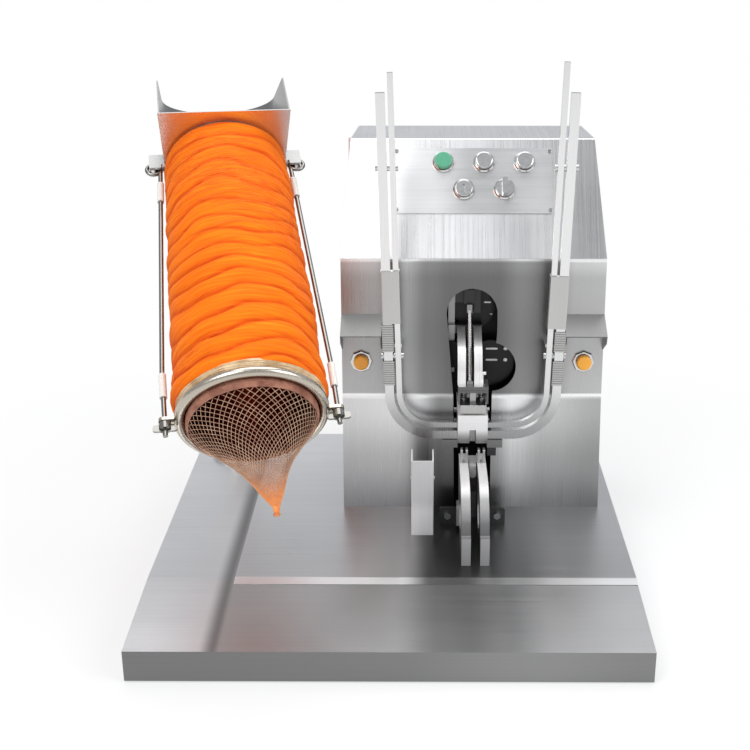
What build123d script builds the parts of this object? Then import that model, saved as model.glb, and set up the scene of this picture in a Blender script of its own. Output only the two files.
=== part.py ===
from build123d import *
import math
import os

# Bag clipping machine, millimetres. X runs to the operator's right, Y away from the operator, Z up.
# The origin is the middle of the base's footprint, on the bench.

# Base
base_width = 624
base_depth = 620
base_gap = 2
base_front_height = 42
base_flange_height = 53
base_ramp_run = 152
base_sheet = 2
tray_left = -200
tray_sheet = 2
tray_lip = 14
tray_lip_edge = 1
foot_radius = 22
foot_height = 12
foot_inset = 60
channel_depth = 40
channel_wall = 3

# Cabinet
cab_x = 108
cab_width = 362
cab_sheet = 2
cab_foot_y = 46
fold_low_y = 69
fold_low_z = 215
fold_high_y = 82
fold_high_z = 410
fold_radius = 2.5
top_front_y = 175
top_back_y = 286
top_z = 557
taper_front = 12
taper_back = 18
slot_x = -1
slot_z = 333.5
slot_radius = 35
slot_low_left = -24
slot_low_right = 27
lobe_x = 25.6
lobe_z = 257.5
lobe_radius = 35
button_z = 266
start_inset = 27
rear_rim = 14
rear_rim_top = 30
vent_rows = 6
vent_long = 70
vent_high = 4
vent_pitch = 14
vent_x = 70
vent_low = 120
gland_side = 110
gland_up = 50
gland_radius = 8
gland_bore = 4
cover_sheet = 1.5
cover_lip = 12
cover_screw_radius = 2.5
angle_leg = 25
angle_wall = 3
angle_front = 30
angle_back = 20
angle_bolt_inset = 30
hex_flat = 13
hex_height = 5
bolt_radius = 4

# Control panel
panel_width = 218
panel_length = 95
panel_low = 64
panel_sheet = 1.5
panel_corner = 3
panel_screw_radius = 2.2
panel_screw_inset = 3.5
row_high = 138
row_low = 98.5
column_pitch = 56
column_middle = 15
panel_hole_radius = 11.2
bezel_radius = 14.8
bezel_height = 4
bezel_bore = 12.4
cap_radius = 12
cap_height = 6
cap_travel = 4
stem_radius = 8
neck_radius = 11
switch_side = 28
switch_depth = 42
switch_gap = 6
hole_cut = 12
stem_clear = 0.2
cap_gap = 0.3
start_bezel_flat = 29
start_bezel_bore = 11
start_cap_radius = 10.5
start_cap_height = 7

# Button hoods
hood_width = 56
hood_reach = 38
hood_drop = 20
hood_root_z = 333
hood_tab_high = 26
hood_tab_down = 22
hood_screw_pitch = 14
hood_sheet = 1.5
hood_side = 30
hood_tab = 14
hood_screw_radius = 3

# Clip rails
rail_y = 35
rail_splay = 0.024
rail_ref_z = 237
outer_at_ref = 114
inner_at_ref = 100.7
outer_bar_wide = 12
outer_bar_deep = 10
inner_bar_wide = 7.5
inner_bar_deep = 8
outer_low_z = 173
inner_low_z = 187
outer_bend = 60
inner_bend = 46.5
outer_top_z = 638
inner_top_left_z = 663
inner_top_right_z = 676
weight_low_left_z = 334
weight_low_right_z = 327
weight_length = 73
weight_wall = 1
weight_clear = 0.3
clip_wire = 1.3
clip_pitch = 3.2
clip_low_z = 246
clip_clear = 0.35
cross_high_z = 543
cross_low_z = 287
cross_radius = 2.5
cross_head_radius = 4.5
cross_head = 3.5
standoff_radius = 5
standoff_z = 300

# Clipping head
head_front_y = 20
head_half = 20.5
head_low_z = 160
head_curve = 13
head_top_z = 205
head_channel = 9
head_mouth_high = 24
cap_plate_half = 17.5
cap_plate_low_z = 208
cap_plate_high_z = 220
cap_plate_back_y = 52
guide_x = 12.2
guide_y = 45.5
guide_radius = 3
guide_clear = 0.08
guide_top_z = 256
guide_sunk = 12
spacer_radius = 5
cross_low = 238
cross_high = 247
skirt_low = 222
skirt_wall = 2.5
ram_travel = 12
punch_width = 8
punch_thick = 6
punch_low_z = 163
punch_y = 34
punch_clear = 0.3
arm_width = 11
arm_left_x = -15.7
arm_right_x = 6.8
arm_thick = 12
arm_foot_y = 34
arm_knee = 34
arm_bend = 34
arm_top_y = 84
arm_top_z = 306
arm_pin_z = 262
arm_pin_radius = 2.2
arm_pin_long = 5
rod_x = -4.5
rod_radius = 3
rod_low_y = 30
rod_high_y = 82
rod_high_z = 340
slider_x = -29
slider_wide = 9
slider_y = 94
slider_deep = 9
slider_low_z = 244
slider_high_z = 366
slider_clear = 0.1
bridge_low_z = 303
bridge_high_z = 315
anchor_low_z = 346
anchor_front_y = 83
spring_wire = 0.7
spring_radius = 4.4
spring_turns = 5

# Cam drive
cam_x = -1
cam_z = 333.5
disc_x = 25.6
disc_z = 258.05
cam_y = 104
cam_thick = 8
cam_small = 22
cam_disc_radius = 32.5
cam_disc_thick = 2
cam_disc_gap = 1.2
cam_hub_radius = 14
disc_radius = 33
disc_y = 91
disc_thick = 6
recess_deep = 1.5
recess_high = 3.6
recess_long = 17
recess_x = 2
recess_low = 4
recess_rise = 16.5
recess_dot_x = 21.4
recess_dot_radius = 2.9
roller_radius = 8
roller_bore = 4
roller_gap = 0.3
bearing_front_y = 116
bearing_rear_y = 158
bearing_plate = 8
bearing_plate_left = -46
bearing_plate_right = 84
bearing_plate_top = 392
shaft_radius = 8
shaft_clear = 0.05
bearing_radius = 16
bearing_wide = 7
gear_module = 2
gear_wide = 14
gear_y = 130
gearbox_side = 90
gearbox_length = 60
motor_radius = 38
motor_length = 46
gearbox_bore_deep = 16

# Lower jaw
jaw_x = -0.2
jaw_gap = 12.4
jaw_wide = 12
jaw_front_y = -124
jaw_back_y = 34
jaw_top_z = 143
jaw_bend = 72
jaw_hole = 24
finger_wide = 3
finger_high = 19
finger_outer = 15.2
finger_inner = 8.2
finger_deep = 10
finger_y = 6
die_radius = 4.6
die_long = 20
die_front = -4
web_front = 12
pad_thick = 3
pad_high = 40
side_plate_thick = 4
side_plate_long = 18
side_plate_low_z = 62
side_plate_high_z = 92
foot_tab_y = -9
foot_tab_high = 25
foot_tab_wide = 22
foot_tab_sheet = 4
foot_tab_leg = 30
side_bar_long = 21
side_bar_high = 12
side_bar_deep = 12
side_bar_gap = 1
sensor_side = 12

# Switch box beside the jaw
switch_box_x = -69
switch_box_wide = 30
switch_box_y = -42
switch_box_deep = 40
switch_box_high = 110
switch_box_sheet = 1.5

# Net tube, with its own axis that points down towards the operator
mouth_x = -158.5
mouth_y = -221
mouth_z = 303
tube_heading = 11.5
tube_dip = 32.7
tube_length = 419
tube_radius = 75
tube_wall = 1.5
tube_past = 8
ring_radius = 84
ring_wire = 6
rod_offset = 100
tie_radius = 3
tie_top_offset = 87
tie_straight = 72
tie_past = 20
sleeve_radius = 4.5
sleeve_wall_clear = 0.1
sleeve_long = 34
eye_radius = 9
eye_wire = 2.6
eye_run = 5
eye_pin_radius = 4.5
clevis_wall = 3.5
lug_thick = 4
nut_hub = 7
nut_long = 9
wing_span = 13
wing_thick = 3
plate_half_top = 86
plate_top = 94
hopper_radius = 81
hopper_half_top = 85
hopper_peak = 81
hopper_peak_run = 80
hopper_back = 78
hopper_long = 195
hopper_sheet = 1.5
net_clear = 0.4
net_rear_radius = 81.5
net_front_radius = 90
net_start = 4
tail_x = 38
tail_forward = 28
tail_drop = 104
tail_tip = 6
tail_gap = 0.3
post_radius = 16
post_wall = 2
post_foot_radius = 38
post_foot_thick = 6
saddle_long = 70
saddle_start = 40
saddle_thick = 5
saddle_half_angle = 32

base_top_z = base_flange_height + tray_sheet
half_width = base_width / 2
half_depth = base_depth / 2
parts = {}
frame_bolts = []
cover_screws = []


def block(x0, x1, y0, y1, z0, z1):
    return Pos((x0 + x1) / 2, (y0 + y1) / 2, (z0 + z1) / 2) * Box(x1 - x0, y1 - y0, z1 - z0)


def bar(start, end, radius):
    """A round bar between two points."""
    start = Vector(*start)
    end = Vector(*end)
    place = Plane(origin=start, z_dir=end - start)
    return place * Cylinder(radius, (end - start).length, align=(Align.CENTER, Align.CENTER, Align.MIN))


def along_x(points, x0, x1):
    """A prism along X whose outline is a list of (y, z) points."""
    return extrude(Plane.YZ.offset(x0) * make_face(Polyline(*points, close=True)), x1 - x0)


def along_y(points, y0, y1):
    """A prism along Y whose outline is a list of (x, z) points."""
    place = Plane(origin=(0, y0, 0), x_dir=(1, 0, 0), z_dir=(0, -1, 0))
    return extrude(place * make_face(Polyline(*points, close=True)), -(y1 - y0))


def hex_bolt(base, direction, flat, height, shank_radius, shank):
    """A hexagon head on the face at base, with its shank going the other way."""
    place = Plane(origin=base, z_dir=direction)
    head = extrude(place * RegularPolygon(flat / 2, 6, major_radius=False), height)
    return head + place * Pos(0, 0, -shank / 2) * Cylinder(shank_radius, shank)


def pan_screw(base, direction, head_radius, head, shank_radius, shank):
    """A round-headed screw with a cross recess."""
    place = Plane(origin=base, z_dir=direction)
    shape = Pos(0, 0, head / 2) * Cylinder(head_radius, head)
    shape = fillet(shape.edges().group_by(Axis.Z)[-1], head * 0.4)
    slot = Pos(0, 0, head) * Box(head_radius * 1.1, head * 0.5, head * 0.8)
    shape = shape - slot - Rot(0, 0, 90) * slot
    return place * (shape + Pos(0, 0, -shank / 2) * Cylinder(shank_radius, shank))


def group(shapes):
    """Separate solids that share one node."""
    solids = []
    for shape in shapes:
        solids.extend(shape.solids())
    return Compound(children=solids)


# Base

def base_profile(inset):
    """Side outline of the base: front face, ramp and flat top, pulled in by a sheet's thickness."""
    return [
        (-half_depth + inset, base_gap - (1 if inset else 0)),
        (-half_depth + inset, base_front_height - inset),
        (-half_depth + base_ramp_run, base_flange_height - inset),
        (half_depth - inset, base_flange_height - inset),
        (half_depth - inset, base_gap - (1 if inset else 0)),
    ]


def make_base():
    outer = along_x(base_profile(0), -half_width, half_width)
    inner = along_x(base_profile(base_sheet), -half_width + base_sheet, half_width - base_sheet)
    parts["base_shell"] = outer - inner

    lip_y = -half_depth + base_ramp_run
    ramp_drop = tray_lip * (base_flange_height - base_front_height) / base_ramp_run
    lip_low = base_flange_height - ramp_drop
    tray = [
        (half_depth, base_flange_height),
        (lip_y, base_flange_height),
        (lip_y - tray_lip, lip_low),
        (lip_y - tray_lip, lip_low + tray_lip_edge),
        (lip_y, base_top_z),
        (half_depth, base_top_z),
    ]
    parts["tray_plate"] = along_x(tray, tray_left, half_width)

    ceiling = base_flange_height - base_sheet
    channels = []
    for x in (-half_width + foot_inset, 0, half_width - foot_inset):
        side = channel_depth / 2
        outside = block(x - side, x + side, lip_y + 10, half_depth - base_sheet - 8, foot_height, ceiling)
        inside = block(x - side + channel_wall, x + side - channel_wall, lip_y + 10,
                       half_depth - base_sheet - 8, foot_height + channel_wall, ceiling)
        channels.append(outside - inside)
    parts["base_channels"] = group(channels)

    feet = []
    for x in (-half_width + foot_inset, 0, half_width - foot_inset):
        rows = (0,) if x == 0 else (lip_y + foot_inset, half_depth - foot_inset)
        for y in rows:
            pad = Pos(x, y, foot_height / 2) * Cylinder(foot_radius, foot_height)
            feet.append(chamfer(pad.edges().group_by(Axis.Z)[0], 1.5))
    for x in (-half_width + foot_inset, half_width - foot_inset):
        pad = Cylinder(foot_radius, base_flange_height)
        pad = Pos(x, -half_depth + foot_inset, base_flange_height / 2) * pad
        pad = chamfer(pad.edges().group_by(Axis.Z)[0], 1.5)
        feet.append((pad - parts["base_shell"]).solids().sort_by(Axis.Z)[0])
    parts["rubber_feet"] = group(feet)


# Cabinet

def cabinet_profile(inset):
    """Side outline of the cabinet, pulled in evenly by inset."""
    outline = Polyline(
        (cab_foot_y, base_top_z),
        (fold_low_y, fold_low_z),
        (fold_high_y, fold_high_z),
        (top_front_y, top_z),
        (top_back_y, top_z),
        (top_back_y, base_top_z),
        close=True,
    )
    face = make_face(outline)
    folds = [corner for corner in face.vertices() if corner.X < top_back_y - 1 and corner.Y > base_top_z + 1]
    face = fillet(folds, fold_radius)
    return offset(face, -inset, kind=Kind.INTERSECTION) if inset else face


def taper_cutter(side, inset):
    """Everything outside the inward-leaning upper flank of one side."""
    half = cab_width / 2
    low = Vector(half, fold_high_y, fold_high_z)
    front = Vector(half - taper_front, top_front_y, top_z)
    back = Vector(half - taper_back, top_back_y, top_z)
    normal = (front - low).cross(back - low)
    normal = normal if normal.X > 0 else normal * -1
    normal = normal.normalized()
    spot = low - normal * inset
    place = Plane(origin=(cab_x + side * spot.X, spot.Y, spot.Z),
                  z_dir=(side * normal.X, normal.Y, normal.Z))
    return place * Pos(0, 0, cab_width) * Box(4 * cab_width, 4 * cab_width, 2 * cab_width)


def cabinet_block(inset):
    half = cab_width / 2 - inset
    shape = extrude(Plane.YZ.offset(cab_x - half) * cabinet_profile(inset), 2 * half)
    return shape - taper_cutter(1, inset) - taper_cutter(-1, inset)


def front_slot(y0, y1):
    """The opening for the press arms: an arch, a leaning channel down to the tray and a round lobe."""
    low = base_top_z - 1
    channel = [
        (cab_x + slot_x - slot_radius, slot_z),
        (cab_x + slot_low_left - 2, fold_low_z),
        (cab_x + slot_low_left, low),
        (cab_x + slot_low_right, low),
        (cab_x + slot_low_right + 1, fold_low_z),
        (cab_x + slot_x + slot_radius, slot_z - 26),
        (cab_x + slot_x + slot_radius, slot_z),
    ]
    shape = along_y(channel, y0, y1)
    shape += bar((cab_x + slot_x, y0, slot_z), (cab_x + slot_x, y1, slot_z), slot_radius)
    shape += bar((cab_x + lobe_x, y0, lobe_z), (cab_x + lobe_x, y1, lobe_z), lobe_radius)
    return shape


console = Plane(
    origin=(cab_x, fold_high_y, fold_high_z),
    x_dir=(1, 0, 0),
    z_dir=(0, -(top_z - fold_high_z), top_front_y - fold_high_y),
)


def control_spots():
    """Local places of the five controls on the console, two rows."""
    return {
        "lamp": (column_middle - column_pitch, row_high),
        "left": (column_middle, row_high),
        "right": (column_middle + column_pitch, row_high),
        "key": (column_middle - column_pitch / 2, row_low),
        "selector": (column_middle + column_pitch / 2, row_low),
    }


facet = Plane(
    origin=(cab_x, fold_low_y, fold_low_z),
    x_dir=(1, 0, 0),
    z_dir=(0, -(fold_high_z - fold_low_z), fold_high_y - fold_low_y),
)
facet_rise = math.hypot(fold_high_z - fold_low_z, fold_high_y - fold_low_y)


def facet_up(z):
    """Distance up the upper front facet for a height z."""
    return (z - fold_low_z) * facet_rise / (fold_high_z - fold_low_z)


def facet_y(z):
    return fold_low_y + (z - fold_low_z) * (fold_high_y - fold_low_y) / (fold_high_z - fold_low_z)


def make_cabinet():
    shell = cabinet_block(0) - cabinet_block(cab_sheet)
    half = cab_width / 2
    rim = rear_rim
    opening = block(cab_x - half + rim, cab_x + half - rim, top_back_y - 5, top_back_y + 5,
                    base_top_z + rim, top_z - rear_rim_top)
    floor = block(cab_x - half + cab_sheet, cab_x + half - cab_sheet, cab_foot_y + cab_sheet + 0.6,
                  top_back_y - cab_sheet, base_top_z - 1, base_top_z + cab_sheet + 1)
    shell = shell - opening - floor - front_slot(cab_foot_y - 20, fold_high_y + 14)
    button_hole = Cylinder(panel_hole_radius, hole_cut)
    for x, s in control_spots().values():
        shell -= console * Pos(x, s, 0) * button_hole
    for side in (-1, 1):
        shell -= facet * Pos(side * (half - start_inset), facet_up(button_z), 0) * button_hole
    parts["cabinet_shell"] = shell

    cover = block(cab_x - half + rim - cover_lip, cab_x + half - rim + cover_lip, top_back_y,
                  top_back_y + cover_sheet, base_top_z + rim - cover_lip, top_z - rear_rim_top + cover_lip)
    for row in range(vent_rows):
        z = base_top_z + vent_low + row * vent_pitch
        for x in (cab_x - vent_x, cab_x + vent_x):
            cover -= Pos(x, top_back_y, z) * Box(vent_long, 10, vent_high)
    gland_x = cab_x + gland_side
    gland_z = base_top_z + gland_up
    cover -= bar((gland_x, top_back_y - 5, gland_z), (gland_x, top_back_y + 5, gland_z), gland_radius + 0.1)
    parts["rear_cover"] = cover

    screws = []
    for x in (cab_x - half + rim * 0.65, cab_x + half - rim * 0.65):
        for z in (base_top_z + 2 * rim, (base_top_z + top_z) / 2, top_z - 2 * rear_rim_top):
            spot = (x, top_back_y + cover_sheet, z)
            screws.append(pan_screw(spot, (0, 1, 0), 5, 2.6, cover_screw_radius, 7))
    parts["rear_cover_screws"] = group(screws)

    nut = extrude(Plane(origin=(gland_x, top_back_y + cover_sheet, gland_z), z_dir=(0, 1, 0))
                  * RegularPolygon(gland_radius * 1.5, 6, major_radius=False), gland_radius * 0.75)
    body = bar((gland_x, top_back_y - 10, gland_z), (gland_x, top_back_y + 20, gland_z), gland_radius)
    bore = bar((gland_x, top_back_y - 11, gland_z), (gland_x, top_back_y + 21, gland_z), gland_bore)
    parts["cable_gland"] = nut + body - bore

    angles = []
    bolts = []
    for side in (-1, 1):
        x0 = cab_x + side * (half - cab_sheet)
        x1 = x0 - side * angle_leg
        xs = sorted((x0, x1))
        start = cab_foot_y + angle_front
        end = top_back_y - angle_back
        foot = block(xs[0], xs[1], start, end, base_top_z, base_top_z + angle_wall)
        ws = sorted((x0, x0 - side * angle_wall))
        wall = block(ws[0], ws[1], start, end, base_top_z, base_top_z + angle_leg)
        angles.append(foot + wall)
        for y in (start + angle_bolt_inset, end - angle_bolt_inset):
            spot = (x0 - side * angle_leg * 0.6, y, base_top_z + angle_wall)
            shank = angle_wall + tray_sheet + 8
            bolts.append(hex_bolt(spot, (0, 0, 1), hex_flat, hex_height, bolt_radius, shank))
    parts["cabinet_angles"] = group(angles)
    parts["cabinet_bolts"] = group(bolts)


def make_panel():
    plate = Box(panel_width, panel_length, panel_sheet)
    plate = Pos(0, panel_low + panel_length / 2, panel_sheet / 2) * plate
    plate = fillet(plate.edges().filter_by(Axis.Z), panel_corner)
    for x, s in control_spots().values():
        plate -= Pos(x, s, 0) * Cylinder(panel_hole_radius, hole_cut)
    parts["control_panel"] = console * plate

    screws = []
    for x in (-1, 1):
        for s in (panel_low + panel_screw_inset + 2, panel_low + panel_length - panel_screw_inset - 1):
            across = x * (panel_width / 2 - panel_screw_inset)
            spot = console.from_local_coords(Vector(across, s, panel_sheet))
            screws.append(pan_screw(tuple(spot), tuple(console.z_dir), 3, 1.8, panel_screw_radius * 0.6, 8))
    parts["panel_screws"] = group(screws)

    bezels = []
    blocks = []
    for x, s in control_spots().values():
        ring = Pos(0, 0, bezel_height / 2) * Cylinder(bezel_radius, bezel_height)
        ring = chamfer(ring.edges().group_by(Axis.Z)[-1], 1.6)
        collar = Pos(0, 0, -switch_gap / 2) * Cylinder(neck_radius, switch_gap)
        ring = ring + collar - Pos(0, 0, bezel_height / 2 + 1) * Cylinder(bezel_bore, bezel_height)
        ring -= Cylinder(stem_radius + stem_clear, 2 * switch_depth)
        bezels.append(console * Pos(x, s, panel_sheet) * ring)
        body = Box(switch_side, switch_side, switch_depth)
        body = Pos(0, 0, -switch_gap - switch_depth / 2) * body
        body -= Pos(0, 0, -switch_gap) * Cylinder(stem_radius + 0.4, 2 * (cap_travel + 3))
        blocks.append(console * Pos(x, s, panel_sheet) * body)
    parts["panel_bezels"] = group(bezels)
    parts["panel_switch_blocks"] = group(blocks)

    floor = 1.0
    caps = (("green_button", "lamp"), ("round_button_left", "left"), ("round_button_right", "right"))
    for name, key in caps:
        x, s = control_spots()[key]
        low = floor + cap_travel + cap_gap
        cap = Pos(0, 0, low + cap_height / 2) * Cylinder(cap_radius, cap_height)
        cap = fillet(cap.edges().group_by(Axis.Z)[-1], 2)
        stem_low = -switch_gap - 2
        cap += Pos(0, 0, (stem_low + low + 1) / 2) * Cylinder(stem_radius, low + 1 - stem_low)
        parts[name] = console * Pos(x, s, panel_sheet) * cap

    x, s = control_spots()["key"]
    rotor = Pos(0, 0, floor + 0.2 + 3) * Cylinder(cap_radius, 6)
    rotor = fillet(rotor.edges().group_by(Axis.Z)[-1], 1.2)
    rotor -= Pos(0, 0, 8) * Box(2.4, 11, 8)
    rotor += Pos(0, 0, -3) * Cylinder(stem_radius, 10)
    parts["key_switch"] = console * Pos(x, s, panel_sheet) * rotor

    x, s = control_spots()["selector"]
    knob = Pos(0, 0, floor + 0.2 + 3.5) * Cylinder(cap_radius, 7)
    grip = Pos(0, 0, floor + 12) * Box(7, 24, 10)
    knob = knob + fillet(grip.edges().filter_by(Axis.Z), 2.5) + Pos(0, 0, -3) * Cylinder(stem_radius, 10)
    parts["selector_knob"] = console * Pos(x, s, panel_sheet) * knob


def make_start_buttons():
    rings = []
    blocks = []
    for side, name in ((-1, "start_button_left"), (1, "start_button_right")):
        place = facet * Pos(side * (cab_width / 2 - start_inset), facet_up(button_z), 0)
        ring = extrude(RegularPolygon(start_bezel_flat / 2, 8, major_radius=False), bezel_height)
        ring = chamfer(ring.edges().group_by(Axis.Z)[-1], 1.2)
        ring = ring + Pos(0, 0, -switch_gap / 2) * Cylinder(neck_radius, switch_gap)
        ring -= Pos(0, 0, bezel_height / 2 + 1) * Cylinder(start_bezel_bore, bezel_height)
        ring -= Cylinder(stem_radius + stem_clear, 2 * switch_depth)
        rings.append(place * ring)
        body = Pos(0, 0, -switch_gap - switch_depth / 2) * Box(switch_side, switch_side, switch_depth)
        body -= Pos(0, 0, -switch_gap) * Cylinder(stem_radius + 0.4, 2 * (cap_travel + 3))
        blocks.append(place * body)
        low = 1 + cap_travel + cap_gap
        cap = Pos(0, 0, low + start_cap_height / 2) * Cylinder(start_cap_radius, start_cap_height)
        cap = fillet(cap.edges().group_by(Axis.Z)[-1], 3)
        stem_low = -switch_gap - 2
        cap += Pos(0, 0, (stem_low + low + 1) / 2) * Cylinder(stem_radius, low + 1 - stem_low)
        parts[name] = place * cap
    parts["start_bezels"] = group(rings)
    parts["start_switch_blocks"] = group(blocks)


def make_hoods():
    screws = []
    root_y = facet_y(hood_root_z)
    for side, name in ((-1, "hood_left"), (1, "hood_right")):
        x = cab_x + side * (cab_width - hood_width) / 2
        profile = [
            (root_y - 0.1, hood_root_z),
            (root_y - hood_reach, hood_root_z - hood_drop),
            (root_y - hood_reach + 4, hood_root_z - hood_drop - 12),
            (facet_y(hood_root_z - hood_side - hood_drop) - 0.1, hood_root_z - hood_side - hood_drop),
        ]
        shape = along_x(profile, x - hood_width / 2, x + hood_width / 2)
        past = 5
        slant = past * hood_drop / hood_reach
        upright = hood_sheet * math.hypot(hood_drop, hood_reach) / hood_reach
        hollow = along_x(
            [
                (root_y + past, hood_root_z - upright + slant),
                (root_y - hood_reach - past, hood_root_z - hood_drop - upright - slant),
                (root_y - hood_reach - past, hood_root_z - 2 * hood_side - hood_drop),
                (root_y + past, hood_root_z - 2 * hood_side - hood_drop),
            ],
            x - hood_width / 2 + hood_sheet,
            x + hood_width / 2 - hood_sheet,
        )
        shape -= hollow
        inner_side = x - side * hood_width / 2
        tab = sorted((inner_side, inner_side - side * hood_tab))
        tab_x = (tab[0] + tab[1]) / 2 - cab_x
        tab_up = facet_up(hood_root_z - hood_tab_down)
        shape += facet * Pos(tab_x, tab_up, hood_sheet / 2 + 0.05) * Box(hood_tab, hood_tab_high, hood_sheet)
        parts[name] = shape
        for rise in (-hood_screw_pitch / 2, hood_screw_pitch / 2):
            spot = facet.from_local_coords(Vector(tab_x, tab_up + rise, hood_sheet + 0.05))
            screws.append(pan_screw(tuple(spot), tuple(facet.z_dir), hood_screw_radius, 2, 1.5, 6))
    parts["hood_screws"] = group(screws)


# Clip rails

def rail_x(at_ref, z):
    return at_ref + rail_splay * (z - rail_ref_z)


def rail_bar(side, at_ref, wide, deep, low_z, top_z_here, bend, end):
    """A flat bar that comes down the front, bends inwards and runs level to the head."""
    start = Vector(cab_x + side * rail_x(at_ref, top_z_here), rail_y, top_z_here)
    corner = Vector(cab_x + side * rail_x(at_ref, low_z), rail_y, low_z)
    finish = Vector(cab_x + side * end, rail_y, low_z)
    path = FilletPolyline(start, corner, finish, radius=bend)
    section = Plane(origin=start, x_dir=(0, 1, 0), z_dir=corner - start) * Rectangle(deep, wide)
    return sweep(section, path=path)


def rail_frame(side, at_ref, z):
    """A frame on one rail with its local Z up the leaning bar."""
    return Plane(
        origin=(cab_x + side * rail_x(at_ref, z), rail_y, z),
        x_dir=(1, 0, -side * rail_splay),
        z_dir=(side * rail_splay, 0, 1),
    )


def make_rails():
    end = head_half
    bolts = []
    standoffs = []
    for side, word in ((-1, "left"), (1, "right")):
        outer = rail_bar(side, outer_at_ref, outer_bar_wide, outer_bar_deep, outer_low_z, outer_top_z,
                         outer_bend, end)
        inner_top = inner_top_left_z if side < 0 else inner_top_right_z
        inner = rail_bar(side, inner_at_ref, inner_bar_wide, inner_bar_deep, inner_low_z, inner_top,
                         inner_bend, end)
        for z in (cross_high_z, cross_low_z):
            a = rail_x(outer_at_ref, z) + outer_bar_wide / 2
            b = rail_x(inner_at_ref, z) - inner_bar_wide / 2
            p = (cab_x + side * (a + 0.5), rail_y, z)
            q = (cab_x + side * (b - 0.5), rail_y, z)
            hole = bar(p, q, cross_radius)
            outer -= hole
            inner -= hole
            far = (cab_x + side * (a + cross_head), rail_y, z)
            near = (cab_x + side * (b - cross_head), rail_y, z)
            shank = bar((cab_x + side * (a + 1), rail_y, z),
                        (cab_x + side * (b - 1), rail_y, z), cross_radius)
            middle = bar(
                (cab_x + side * (rail_x(outer_at_ref, z) - outer_bar_wide / 2 - 0.15), rail_y, z),
                (cab_x + side * (rail_x(inner_at_ref, z) + inner_bar_wide / 2 + 0.15), rail_y, z),
                cross_head_radius,
            )
            bolts.append(
                shank
                + bar(far, (cab_x + side * (a + 0.15), rail_y, z), cross_head_radius)
                + bar(near, (cab_x + side * (b - 0.15), rail_y, z), cross_head_radius)
                + middle
            )
        parts["clip_rail_" + word] = outer
        parts["guide_bar_" + word] = inner
        z = standoff_z
        x = cab_x + side * rail_x(inner_at_ref, z)
        back = rail_y + inner_bar_deep / 2
        standoffs.append(bar((x, back, z), (x, facet_y(z), z), standoff_radius))

        weight_low = weight_low_left_z if side < 0 else weight_low_right_z
        frame = rail_frame(side, (outer_at_ref + inner_at_ref) / 2, weight_low)
        span = outer_at_ref - inner_at_ref
        wide = span + (outer_bar_wide + inner_bar_wide) / 2 + 2 * weight_wall
        deep = outer_bar_deep + 2 * weight_wall + 1
        middle_x = side * (outer_bar_wide - inner_bar_wide) / 4
        weight = Pos(middle_x, 0, weight_length / 2) * Box(wide, deep, weight_length)
        weight = fillet(weight.edges().filter_by(Axis.Z), 1.2)
        clear = 2 * weight_clear
        weight -= Pos(side * span / 2, 0, weight_length / 2) * Box(
            outer_bar_wide + clear, outer_bar_deep + clear, weight_length + 2
        )
        weight -= Pos(-side * span / 2, 0, weight_length / 2) * Box(
            inner_bar_wide + clear, inner_bar_deep + clear, weight_length + 2
        )
        weight -= Pos(middle_x, deep / 2, weight_length / 2) * Box(
            wide - 8, deep - 2 * weight_wall, weight_length + 2
        )
        parts["clip_weight_" + word] = frame * weight

        clips = []
        count = int((weight_low - 1.5 - clip_low_z) / clip_pitch)
        for n in range(count):
            z = clip_low_z + (n + 0.5) * clip_pitch
            if abs(z - cross_low_z) < cross_head_radius + clip_wire:
                continue
            spot = rail_frame(side, outer_at_ref, z)
            w = outer_bar_wide / 2 + clip_clear
            d = outer_bar_deep / 2 + clip_clear
            ring = Box(2 * (w + clip_wire), 2 * (d + clip_wire), 2 * clip_wire)
            ring -= Box(2 * w, 2 * d, 4 * clip_wire)
            ring -= Pos(0, d + clip_wire, 0) * Box(2 * w - 3, 4 * clip_wire, 4 * clip_wire)
            clips.append(spot * ring)
        parts["clips_" + word] = group(clips)
    parts["rail_cross_bolts"] = group(bolts)
    parts["rail_standoffs"] = group(standoffs)


# Clipping head

def side_bar_top():
    """The side bars sit just under the level run of the outer rail bars."""
    return outer_low_z - outer_bar_wide / 2 - side_bar_gap


def punch_channel(low_z, high_z):
    """The clearance cut that the punch runs in."""
    reach = punch_thick / 2 + punch_clear
    return block(cab_x - head_channel / 2, cab_x + head_channel / 2, punch_y - reach, punch_y + reach,
                 low_z, high_z)


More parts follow.
